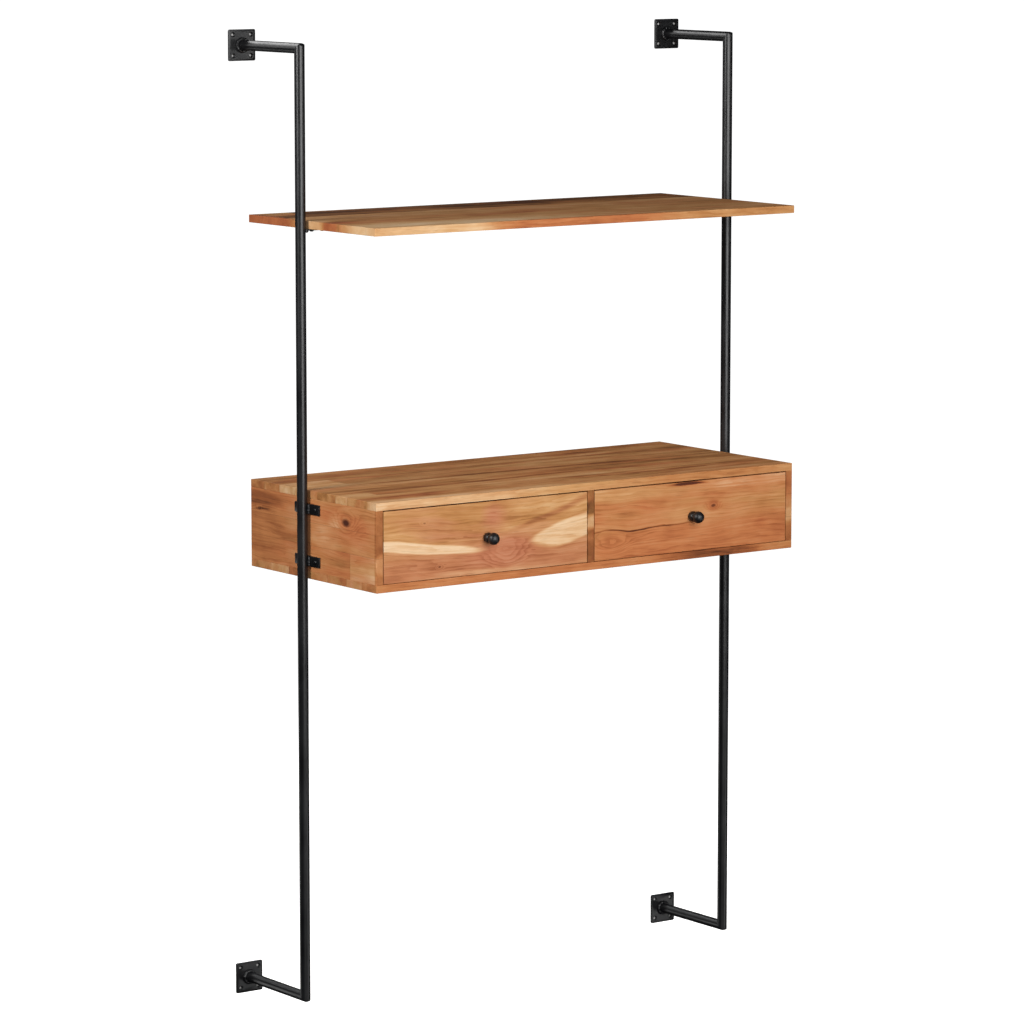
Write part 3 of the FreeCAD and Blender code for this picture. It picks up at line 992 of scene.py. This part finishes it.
class Side(Enum):
    """Side of the desk, as the sign of X."""

    LEFT = -1
    RIGHT = 1

    @property
    def word(self) -> str:
        """Start of this side's node names."""
        return self.name.lower()


@dataclass
class Ironwork:
    """Flat steel of the frames: each piece modelled once for the right frame, as a pattern to copy."""

    bead: WeldBead = field(default_factory=WeldBead)
    plate_mm: float = 60.0
    plate_t_mm: float = 4.0
    plate_corner_mm: float = 3.0
    plate_hole_mm: float = 5.0
    plate_sink_mm: float = 9.5
    plate_hole_edge_mm: float = 10.0
    overcut_mm: float = 1.0
    bar_corner_mm: float = 2.0
    edge_mm: float = 0.5
    # Places of the beads: shares of a puddle's radius, the tube's radius and the tab's height, and an angle
    plate_bead_out: float = 0.55
    bar_bead_out: float = 0.5
    lug_bead_drop: float = 0.1
    tab_bead_apart: float = 0.92
    tab_bead_run: float = 0.72
    lug_bead_spread: float = math.radians(42.0)
    tube_low: Vector = field(init=False)
    tube_high: Vector = field(init=False)
    tube_r_mm: float = field(init=False)
    plate: Workpiece = field(init=False)
    tab: Workpiece = field(init=False)
    lug: Workpiece = field(init=False)

    def __post_init__(self) -> None:
        """Models the patterns."""
        self.tube_low, self.tube_high = (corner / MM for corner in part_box("right_upright_tube"))
        self.tube_r_mm = (self.tube_high - self.tube_low).x / 2
        self.plate = self.wall_plate()
        self.tab = self.case_tab()
        self.lug = self.shelf_lug()

    def bar(self, name: str, low_mm: Vector, high_mm: Vector, upright: Vector, corner_mm: float) -> Workpiece:
        """Cuts a flat bar with rounded corners and eased edges.

        Args:
            name: The bar's name.
            low_mm: Its lowest corner.
            high_mm: Its highest corner.
            upright: Direction of its thickness.
            corner_mm: Radius of its corners.

        Returns:
            The bar.
        """
        low, high = low_mm * MM, high_mm * MM
        bar = Workpiece.start(name, bpy.ops.mesh.primitive_cube_add, size=1.0, location=(low + high) / 2,
                              scale=high - low)
        bar.round_edges(lambda middle, run: abs(run.dot(upright)) > 0.9, corner_mm, 5)
        faces = [corner.dot(upright) for corner in (low, high)]
        bar.round_edges(lambda middle, run: min(abs(middle.dot(upright) - face) for face in faces) < HAIR,
                        self.edge_mm, 2)
        return bar

    def countersink(self) -> Workpiece:
        """Models the drill of one plate hole, with a right-angled cone that stands out of the plate's front.

        Returns:
            The drill, for a plate whose back lies at the origin.
        """
        thick = self.plate_t_mm
        sink = (self.plate_sink_mm - self.plate_hole_mm) / 2
        drill = Workpiece.start(
            "countersink", bpy.ops.mesh.primitive_cylinder_add, vertices=24,
            radius=self.plate_hole_mm / 2 * MM, depth=3 * thick * MM, rotation=(math.pi / 2, 0.0, 0.0))
        drill.pick(Element.FACE, lambda middle, normal: normal.y < -0.9)
        bpy.ops.transform.translate(value=(0.0, (thick / 2 + sink) * MM, 0.0))
        bpy.ops.mesh.extrude_region_move(
            TRANSFORM_OT_translate={"value": (0.0, -(sink + self.overcut_mm) * MM, 0.0)})
        wide = (self.plate_sink_mm + 2 * self.overcut_mm) / self.plate_hole_mm
        bpy.ops.transform.resize(value=(wide, 1.0, wide), center_override=(0.0, 0.0, 0.0))
        drill.put_down()
        return drill

    def wall_plate(self) -> Workpiece:
        """Models a wall plate, its holes and the weld round its arm.

        Returns:
            The plate, with the middle of its back at the origin.
        """
        half, thick = self.plate_mm / 2, self.plate_t_mm
        plate = self.bar("wall_plate", Vector((-half, -thick, -half)), Vector((half, 0.0, half)),
                         Vector((0.0, 1.0, 0.0)), self.plate_corner_mm)
        drill = self.countersink()
        reach = half - self.plate_hole_edge_mm
        for x, z in product((-reach, reach), repeat=2):
            plate.cut(drill.copy("countersink", Matrix.Translation(Vector((x, 0.0, z)) * MM)))
        drill.discard()
        out = self.plate_bead_out * self.bead.radius_mm
        start = Vector((self.tube_r_mm + out, -thick - out, 0.0))
        plate.absorb(self.bead.round_axis(start, "Y", 2 * math.pi))
        return plate

    def case_tab(self) -> Workpiece:
        """Models a bar that holds the case, with its welds on both sides of the upright.

        Returns:
            The bar, with the middle of the side towards the case at the origin.
        """
        low, high = (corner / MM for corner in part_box("right_upper_case_tab"))
        thick = self.tube_low.x - low.x
        size = high - low
        tab = self.bar("case_tab", Vector((0.0, -size.y / 2, -size.z / 2)),
                       Vector((thick, size.y / 2, size.z / 2)), Vector((1.0, 0.0, 0.0)), self.bar_corner_mm)
        out = self.bar_bead_out * self.bead.radius_mm
        apart, run = self.tab_bead_apart * self.tube_r_mm, self.tab_bead_run * size.z
        for y in (-apart, apart):
            tab.absorb(self.bead.upward(Vector((thick + out, y, -run / 2)), run))
        return tab

    def shelf_lug(self) -> Workpiece:
        """Models the lug under the shelf with its weld.

        Returns:
            The lug, with the upright's axis and the lug's top face at the origin.
        """
        low, high = (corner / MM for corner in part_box("right_shelf_lug"))
        axis = (self.tube_low + self.tube_high) / 2
        half, thick = (high.y - low.y) / 2, high.z - low.z
        lug = self.bar("shelf_lug", Vector((low.x - axis.x, -half, -thick)),
                       Vector((high.x - axis.x, half, 0.0)), Vector((0.0, 0.0, 1.0)), self.bar_corner_mm)
        out, drop = (share * self.bead.radius_mm for share in (self.bar_bead_out, self.lug_bead_drop))
        middle = Vector((-self.tube_r_mm - out, 0.0, -thick - drop))
        start = Matrix.Rotation(-self.lug_bead_spread, 3, "Z") @ middle
        lug.absorb(self.bead.round_axis(start, "Z", 2 * self.lug_bead_spread))
        return lug

    def put_away(self) -> None:
        """Removes the patterns once their copies are made."""
        for pattern in (self.plate, self.tab, self.lug):
            pattern.discard()


@dataclass
class TubeFrame:
    """One welded tube frame: upright, two arms, wall plates, case tabs, shelf lug and screws."""

    side: Side
    iron: Ironwork
    screw: CrossScrew
    coat: bpy.types.Material
    screw_coat: bpy.types.Material

    def weld_on(self, pattern: Workpiece, node: str, seat: Vector, turn: Matrix) -> None:
        """Copies a pattern to its place on this frame.

        Args:
            pattern: A piece modelled for the right frame.
            node: The CAD node that the copy stands for.
            seat: Where the pattern's origin goes.
            turn: How the pattern is turned about its origin.
        """
        pattern.copy(f"{node}_with_weld", Matrix.Translation(seat) @ turn).fit(
            "desk", "black_steel", self.coat, node)

    def build_plates(self) -> None:
        """Fits both wall plates, turned so that left and right welds start on opposite sides."""
        turn = Matrix.Rotation(math.pi / 2 * self.side.value, 4, "Y")
        for level in ("top", "bottom"):
            node = f"{self.side.word}_{level}_wall_plate"
            low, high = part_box(node)
            seat = (low + high) / 2
            seat.y = high.y
            self.weld_on(self.iron.plate, node, seat, turn)

    def build_bars(self) -> None:
        """Fits the tabs of the case and the lug of the shelf."""
        on_right = self.side is Side.RIGHT
        turn = Matrix.Rotation(0.0 if on_right else math.pi, 4, "Z")
        for level in ("upper", "lower"):
            node = f"{self.side.word}_{level}_case_tab"
            low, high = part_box(node)
            seat = (low + high) / 2
            seat.x = low.x if on_right else high.x
            self.weld_on(self.iron.tab, node, seat, turn)
        node = f"{self.side.word}_shelf_lug"
        low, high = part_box(f"{self.side.word}_upright_tube")
        seat = (low + high) / 2
        seat.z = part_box(node)[1].z
        self.weld_on(self.iron.lug, node, seat, turn)

    def build_screws(self) -> None:
        """Fits the screws of the tabs and of the lug."""
        edge, head = self.screw.head_d_mm / 2 * MM, self.screw.head_h_mm * MM
        node = f"{self.side.word}_case_tab_screws"
        low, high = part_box(node)
        seat_x = high.x - head if self.side is Side.RIGHT else low.x + head
        rows = product((low.y + edge, high.y - edge), (low.z + edge, high.z - edge))
        self.screw.set_of(
            f"{node}_crossed", [Vector((seat_x, y, z)) for y, z in rows], Vector((self.side.value, 0.0, 0.0)),
        ).fit("desk", "black_screw", self.screw_coat, node)
        node = f"{self.side.word}_shelf_lug_screws"
        low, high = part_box(node)
        seats = [Vector((x, (low.y + high.y) / 2, low.z + head)) for x in (low.x + edge, high.x - edge)]
        self.screw.set_of(f"{node}_crossed", seats, Vector((0.0, 0.0, -1.0))).fit(
            "desk", "black_screw", self.screw_coat, node)

    def build(self) -> None:
        """Dresses the tubes and fits the welded and screwed pieces."""
        for piece in ("upright_tube", "top_arm", "bottom_arm"):
            dress(f"{self.side.word}_{piece}", self.coat)
        self.build_plates()
        self.build_bars()
        self.build_screws()


@dataclass
class Shelf:
    """Shelf board over the desk."""

    board: OiledAcacia = field(default_factory=lambda: OiledAcacia(
        Grain.FLAT, (
            Stave(30.0, 0.36), Stave(90.0, 0.42), Stave(110.0, 0.54), Stave(80.0, 0.4),
            Stave(50.0, 0.8), Stave(70.0, 0.4, 0.86, 84.0)),
        streaks=(
            Streak(120.0, 22.0, 340.0, 60.0, 0.06, 0.0, blur=0.6),
            Streak(40.0, 4.0, 190.0, 26.0, 0.2, 0.1, blur=0.3),
            Streak(0.0, 208.0, 34.0, 24.0, 0.26, 0.2, blur=0.4),
            Streak(10.0, 153.0, 50.0, 24.0, 0.7, 1.0, blur=0.3),
            Streak(-10.0, 360.0, 24.0, 90.0, 0.74, 1.0, blur=0.3),
            Streak(500.0, 2.0, 230.0, 12.0, 0.6, 0.9, blur=0.4),
            Streak(880.0, 4.0, 140.0, 20.0, 0.46, 0.1, blur=0.4),
        ), seed=43, flush=0.1, ring_depth=0.14))

    def build(self) -> None:
        """Dresses the shelf."""
        dress("shelf_board", self.board.build("shelf_board"))


@dataclass
class DeskCase:
    """Desk case: glued-up acacia boards, a thin back panel, dowels and pins."""

    zinc: bpy.types.Material
    boards: dict[str, OiledAcacia] = field(default_factory=lambda: {
        "case_top_board": OiledAcacia(
            Grain.FLAT, (
                Stave(30.0, 0.44), Stave(66.0, 0.52), Stave(40.0, 0.34, 0.48, 70.0), Stave(62.0, 0.6),
                Stave(57.0, 0.5), Stave(74.0, 0.32, 0.5, 110.0), Stave(51.0, 0.56), Stave(50.0, 0.6)),
            streaks=(
                Streak(60.0, 6.0, 330.0, 22.0, 0.2, 0.3, blur=0.45),
                Streak(820.0, 6.0, 230.0, 14.0, 0.52, 0.35, blur=0.5),
                Streak(300.0, 150.0, 300.0, 9.0, 0.78, 0.3, turn_deg=0.6, blur=0.7),
                Streak(560.0, 232.0, 330.0, 7.0, 0.8, 0.2, turn_deg=-0.8, blur=0.7),
                Streak(760.0, 70.0, 230.0, 8.0, 0.74, 0.4, turn_deg=0.7, blur=0.7),
                Streak(640.0, 350.0, 260.0, 9.0, 0.34, 0.1, blur=0.7),
                Streak(520.0, 110.0, 240.0, 10.0, 0.34, 0.1, blur=0.7),
            ), seed=31, flush=0.15, ring_depth=0.16, figure_depth=0.2),
        "case_bottom_board": OiledAcacia(
            Grain.FLAT, (
                Stave(48.0, 0.56), Stave(52.0, 0.34), Stave(64.0, 0.6), Stave(70.0, 0.44), Stave(62.0, 0.66),
                Stave(66.0, 0.36), Stave(68.0, 0.56)),
            streaks=(
                Streak(500.0, 2.0, 480.0, 16.0, 0.56, 0.8, blur=0.4),
                Streak(800.0, 3.0, 130.0, 7.0, 0.82, 0.7, turn_deg=0.8, blur=0.6),
            ), seed=37),
        "case_left_side": OiledAcacia(
            Grain.ENDWISE, (Stave(50.0, 0.36, 0.56, 88.0), Stave(44.0, 0.54), Stave(46.0, 0.55)),
            streaks=(
                Streak(185.0, 72.0, 44.0, 32.0, 0.36, 0.8, turn_deg=20.0, blur=0.8),
                Streak(268.0, 108.0, 34.0, 24.0, 0.36, 0.8, blur=0.8),
                Streak(250.0, 22.0, 50.0, 14.0, 0.4, 0.7, blur=0.8),
                Streak(62.0, 100.0, 36.0, 30.0, 0.58, 1.0, blur=0.4),
                Streak(142.0, 106.0, 20.0, 16.0, 0.36, 0.8, blur=0.6),
                Streak(385.0, 66.0, 80.0, 60.0, 0.66, 0.5, blur=0.5),
                Streak(385.0, 126.0, 90.0, 16.0, 0.82, 0.6, turn_deg=-3.0, blur=0.5),
                Streak(392.0, 101.0, 26.0, 2.4, 0.95, 0.5, turn_deg=-5.0, blur=0.6),
                Streak(0.0, 70.0, 6.0, 90.0, 0.74, 0.5, blur=0.5),
                Streak(0.0, 36.0, 5.0, 16.0, 0.42, 0.6, blur=0.5),
            ),
            knots=(Knot(101.0, 107.0, 13.0, 1.0, 4.0), Knot(400.0, 100.0, 4.0, 0.6)), seed=12, flush=0.6),
        "case_right_side": OiledAcacia(
            Grain.ENDWISE, (Stave(48.0, 0.6, 0.46, 260.0), Stave(46.0, 0.5), Stave(46.0, 0.64)),
            streaks=(
                Streak(0.0, 110.0, 7.0, 26.0, 0.72, 0.8, blur=0.5),
                Streak(0.0, 52.0, 6.0, 12.0, 0.34, 0.4, blur=0.5),
                Streak(0.0, 16.0, 7.0, 18.0, 0.72, 0.6, blur=0.5),
            ), seed=21),
        "case_divider": OiledAcacia(
            Grain.ENDWISE, (Stave(140.0, 0.8),),
            streaks=(
                Streak(0.0, 82.0, 60.0, 13.0, 0.32, 0.3, blur=0.5),
                Streak(0.0, 28.0, 40.0, 16.0, 0.88, 0.5, blur=0.6),
            ), seed=25, flush=0.3),
    })

    def build(self) -> None:
        """Dresses the case."""
        for node, board in self.boards.items():
            dress(node, board.build(node))
        dress("case_back_panel", Plywood(Grain.UPRIGHT).build("case_back_panel"))
        dress("case_dowels", BeechDowel().build("case_dowels"))
        dress("back_panel_pins", self.zinc)


@dataclass
class Drawer:
    """One drawer: acacia front with its knob, and a plain box behind it."""

    side: Side
    front: OiledAcacia
    screw: CrossScrew
    zinc: bpy.types.Material
    lacquer: bpy.types.Material
    plain_tone: float = 0.26

    @property
    def body(self) -> str:
        """The CAD body of this drawer, which also starts its node names."""
        return f"{self.side.word}_drawer"

    def plain_board(self, grain: Grain, piece: str, seed: int) -> None:
        """Dresses one board of the box in plain planed wood.

        Args:
            grain: How the board lies.
            piece: Its name in this drawer.
            seed: Start of its figure.
        """
        node = f"{self.body}_{piece}"
        wood = OiledAcacia(grain, (Stave(500.0, self.plain_tone),), seed=seed + self.side.value, flush=0.2,
                           ring_depth=0.07, figure_depth=0.07, title="planed_acacia")
        dress(node, wood.build(node))

    def build_knob_screw(self) -> None:
        """Fits the screw that holds the knob, from inside the drawer."""
        node = f"{self.body}_knob_screw"
        low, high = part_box(node)
        seat = Vector(((low.x + high.x) / 2, high.y - self.screw.head_h_mm * MM, (low.z + high.z) / 2))
        self.screw.set_of(f"{node}_crossed", [seat], Vector((0.0, 1.0, 0.0))).fit(
            self.body, "zinc", self.zinc, node)

    def build(self) -> None:
        """Dresses the drawer and fits its knob's screw."""
        front = f"{self.body}_front"
        dress(front, self.front.build(front))
        self.plain_board(Grain.ENDWISE, "left_side", 51)
        self.plain_board(Grain.ENDWISE, "right_side", 55)
        self.plain_board(Grain.UPRIGHT, "back", 59)
        dress(f"{self.body}_bottom", Plywood(Grain.FLAT).build(f"{self.body}_bottom"))
        dress(f"{self.body}_bottom_pins", self.zinc)
        dress(f"{self.body}_knob", self.lacquer)
        self.build_knob_screw()


DRAWER_FRONTS = {
    Side.LEFT: OiledAcacia(
        Grain.UPRIGHT, (Stave(137.0, 0.42),),
        streaks=(
            Streak(390.0, 124.0, 120.0, 16.0, 0.32, 0.0, blur=0.6),
            Streak(250.0, 16.0, 330.0, 36.0, 0.57, 0.7, blur=0.5),
            Streak(276.0, 42.0, 80.0, 28.0, 0.58, 1.0, turn_deg=6.0, blur=0.6),
            Streak(60.0, 61.0, 165.0, 12.0, 0.03, 0.3, turn_deg=-4.0, blur=0.16),
            Streak(440.0, 70.0, 98.0, 23.0, 0.08, 0.2, turn_deg=10.0, blur=0.14),
            Streak(270.0, 0.0, 150.0, 8.0, 0.34, 0.6, blur=0.6),
            Streak(395.0, 107.0, 100.0, 5.0, 0.66, 0.4, turn_deg=14.0, blur=0.8),
            Streak(252.0, 112.0, 22.0, 20.0, 0.54, 0.9, turn_deg=10.0, blur=0.9),
        ),
        knots=(Knot(283.0, 38.0, 15.0, 0.0, 4.0), Knot(93.0, 108.0, 3.0, 0.5), Knot(128.0, 22.0, 3.0, 0.6)),
        seed=3, flush=0.15, ring_depth=0.14,
        red=("#ebc8a6", "#ddae8a", "#cb8d6a", "#bf7855", "#a25a3b", "#562a19")),
    Side.RIGHT: OiledAcacia(
        Grain.UPRIGHT, (Stave(137.0, 0.52),),
        streaks=(
            Streak(250.0, 20.0, 330.0, 40.0, 0.58, 0.9, blur=0.5),
            Streak(60.0, 122.0, 140.0, 14.0, 0.42, 0.2, blur=0.6),
            Streak(410.0, 130.0, 150.0, 13.0, 0.34, 0.9, blur=0.4),
            Streak(228.0, 133.0, 42.0, 4.0, 0.98, 1.0, turn_deg=1.0, blur=0.5),
            Streak(112.0, 57.0, 125.0, 1.7, 0.9, 0.6, turn_deg=1.0, blur=0.6),
            Streak(411.0, 38.0, 16.0, 10.0, 0.66, 1.0, blur=0.7),
            Streak(291.0, 85.0, 17.0, 10.0, 0.66, 1.0, blur=0.8),
        ),
        knots=(Knot(292.0, 85.0, 6.0, 0.8, 3.0), Knot(40.0, 32.0, 14.0, 0.0, 3.0)),
        seed=8, flush=0.6, ring_depth=0.12),
}


class Shown(Enum):
    """How a light shows on the desk."""

    FULLY = "lights surfaces and shows in glossy ones"
    FILLING = "lights surfaces only"
    MIRRORED = "shows in glossy surfaces only"


@dataclass
class Studio:
    """Pale floor, soft light and the camera."""

    lens_mm: float = 161.4
    yaw_deg: float = 36.0
    pitch_deg: float = 8.0
    distance: float = 8.994
    aim: tuple[float, float, float] = (-0.031, -0.216, -0.005)
    sensor_mm: float = 36.0
    floor_drop: float = 0.25
    floor_radius: float = 6.0
    floor_glow: float = 0.9
    spot_share: float = 0.49
    spot_proud_mm: float = 0.1
    seen_white: float = 1.1
    dim_light: float = 0.09
    dark_reflection: float = 0.025

    def camera(self) -> None:
        """Sets the camera at the photograph's viewing angle."""
        data = bpy.data.cameras.new("studio_camera")
        data.lens, data.sensor_width = self.lens_mm, self.sensor_mm
        camera = bpy.data.objects.new("studio_camera", data)
        bpy.context.scene.collection.objects.link(camera)
        yaw, pitch = math.radians(self.yaw_deg), math.radians(self.pitch_deg)
        ahead = Vector((math.sin(yaw) * math.cos(pitch), math.cos(yaw) * math.cos(pitch), -math.sin(pitch)))
        camera.location = Vector(self.aim) - ahead * self.distance
        camera.rotation_euler = ahead.to_track_quat("-Z", "Y").to_euler()
        bpy.context.scene.camera = camera

    def softbox(self, name: str, azimuth_deg: float, elevation_deg: float, light: float,
                size: tuple[float, float], distance: float = 4.0, shown: Shown = Shown.FULLY) -> None:
        """Hangs one large soft light round the desk.

        Args:
            name: The light's name.
            azimuth_deg: Where it stands, with 0 in front of the desk and 90 on its right.
            elevation_deg: Height above the horizon.
            light: Brightness that it gives a white surface that faces it.
            size: Its width and height in metres.
            distance: How far it stands from the desk in metres.
            shown: Which of its light counts.
        """
        data = bpy.data.lights.new(name, "AREA")
        data.shape, (data.size, data.size_y) = "RECTANGLE", size
        data.energy = light * (math.pi * distance) ** 2
        lamp = bpy.data.objects.new(name, data)
        bpy.context.scene.collection.objects.link(lamp)
        turn, rise = math.radians(azimuth_deg), math.radians(elevation_deg)
        towards = Vector((math.sin(turn) * math.cos(rise), -math.cos(turn) * math.cos(rise), math.sin(rise)))
        lamp.location = Vector(self.aim) + towards * distance
        lamp.rotation_euler = (-towards).to_track_quat("-Z", "Y").to_euler()
        lamp.visible_camera = False
        lamp.visible_glossy = shown is not Shown.FILLING
        lamp.visible_diffuse = shown is not Shown.MIRRORED

    def floor(self) -> None:
        """Lays the pale floor under the desk, which doesn't hide the desk from below."""
        floor = Workpiece.start(
            "studio_floor", bpy.ops.mesh.primitive_circle_add, vertices=64, radius=self.floor_radius,
            fill_type="NGON", location=(0.0, 0.0, CAD_BOX[0].z - self.floor_drop)).body
        material = bpy.data.materials.new("pale_floor")
        recipe = Recipe(material)
        shader = recipe.add("BsdfPrincipled", {
            "Base Color": linear("#f4f3f1"), "Roughness": 0.9,
            "Emission Color": linear("#ffffff"), "Emission Strength": self.floor_glow,
        })
        unseen = recipe.add("BsdfTransparent", {})
        from_below = recipe.add("NewGeometry", {}).outputs["Backfacing"]
        one_way = recipe.add("MixShader", {0: from_below, 1: shader, 2: unseen})
        recipe.add("OutputMaterial", {"Surface": one_way})
        floor.data.materials.append(material)
        floor.visible_glossy = floor.visible_diffuse = floor.visible_shadow = False

    def painted_shade_spots(self) -> None:
        """Puts pale grey discs at the back of the plates' holes as painted shade: they stand for a shaded
        wall behind the plates, which the studio doesn't have, and the holes' own depth shades them further.
        """
        spot = Workpiece.start(
            "wall_spot", bpy.ops.mesh.primitive_circle_add, vertices=24, fill_type="NGON",
            radius=self.spot_share * Ironwork.plate_hole_mm * MM, rotation=(math.pi / 2, 0.0, 0.0))
        places: list[Matrix] = []
        edge = Ironwork.plate_hole_edge_mm * MM
        for side, level in product(Side, ("top", "bottom")):
            low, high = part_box(f"{side.word}_{level}_wall_plate")
            for x, z in product((low.x + edge, high.x - edge), (low.z + edge, high.z - edge)):
                places.append(Matrix.Translation((x, high.y - self.spot_proud_mm * MM, z)))
        wall = spot.string_of("painted_shade_in_plate_holes", places)
        spot.discard()
        material = bpy.data.materials.new("painted_shade_grey")
        recipe = Recipe(material)
        # Painted shade: a grey darker than a white wall, so the discs read as a wall in shade inside the
        # holes
        shader = recipe.add("BsdfPrincipled", {"Base Color": linear("#b4b3b1"), "Roughness": 0.9})
        recipe.add("OutputMaterial", {"Surface": shader})
        wall.body.data.materials.append(material)
        wall.body

    def backdrop(self) -> None:
        """Gives the open studio round the floor its white, a dim light of its own and dark reflections."""
        world = bpy.data.worlds.new("studio_backdrop")
        bpy.context.scene.world = world
        recipe = Recipe(world)
        path = recipe.add("LightPath", {})
        unseen = recipe.add("MapRange", {"Value": path.outputs["Is Glossy Ray"], 3: self.dim_light,
                                         4: self.dark_reflection})
        strength = recipe.add("Mix", {"Factor": path.outputs["Is Camera Ray"], "A": unseen,
                                      "B": self.seen_white})
        background = recipe.add("Background", {"Strength": strength, "Color": linear("#ffffff")})
        recipe.add("OutputWorld", {"Surface": background})

    def build(self) -> None:
        """Sets up the whole studio."""
        self.camera()
        self.floor()
        self.painted_shade_spots()
        self.backdrop()
        self.softbox("key_softbox", -10.0, 13.0, 1.02, (2.8, 2.8))
        self.softbox("left_softbox", -84.0, 26.0, 0.58, (0.8, 1.0), distance=3.0)
        self.softbox("back_softbox", -168.0, 40.0, 0.24, (2.0, 1.2), shown=Shown.MIRRORED)
        self.softbox("high_strip", -146.0, 22.0, 0.06, (1.0, 1.5), shown=Shown.MIRRORED)
        self.softbox("low_strip", -146.0, -24.0, 0.06, (1.0, 1.4), shown=Shown.MIRRORED)
        self.softbox("low_front_strip", 37.0, -25.0, 0.075, (1.4, 1.0), shown=Shown.MIRRORED)
        self.softbox("low_left_strip", -36.0, -26.0, 0.016, (1.2, 0.9), shown=Shown.MIRRORED)
        self.softbox("high_front_strip", 26.0, 12.0, 0.06, (0.9, 0.7), shown=Shown.MIRRORED)
        self.softbox("right_fill", 96.0, 12.0, 0.4, (3.0, 3.0), shown=Shown.FILLING)
        self.softbox("back_fill", 178.0, 4.0, 0.45, (3.0, 3.0), shown=Shown.FILLING)
        bpy.context.scene.view_settings.view_transform = "Standard"


def main() -> None:
    """Builds the studio and every sub-assembly."""
    Studio().build()
    coat = PowderCoat().build("frames")
    screw_coat = PowderCoat(
        "#0e0e10", "#1c1c1f", pebble_mm=0.8, roughness=0.3, title="black_screw_coat").build("screws")
    zinc = ZincPlate().build("fasteners")
    lacquer = KnobLacquer().build("knobs")
    iron, black_screw = Ironwork(), CrossScrew()
    for side in Side:
        TubeFrame(side, iron, black_screw, coat, screw_coat).build()
    iron.put_away()
    black_screw.pattern.discard()
    Shelf().build()
    DeskCase(zinc).build()
    knob_screw = CrossScrew(head_h_mm=2.4, length_mm=24.0)
    for side in Side:
        Drawer(side, DRAWER_FRONTS[side], knob_screw, zinc, lacquer).build()
    knob_screw.pattern.discard()


if __name__ == "__main__":
    logging.basicConfig(level=logging.INFO, format="%(message)s")
    main()
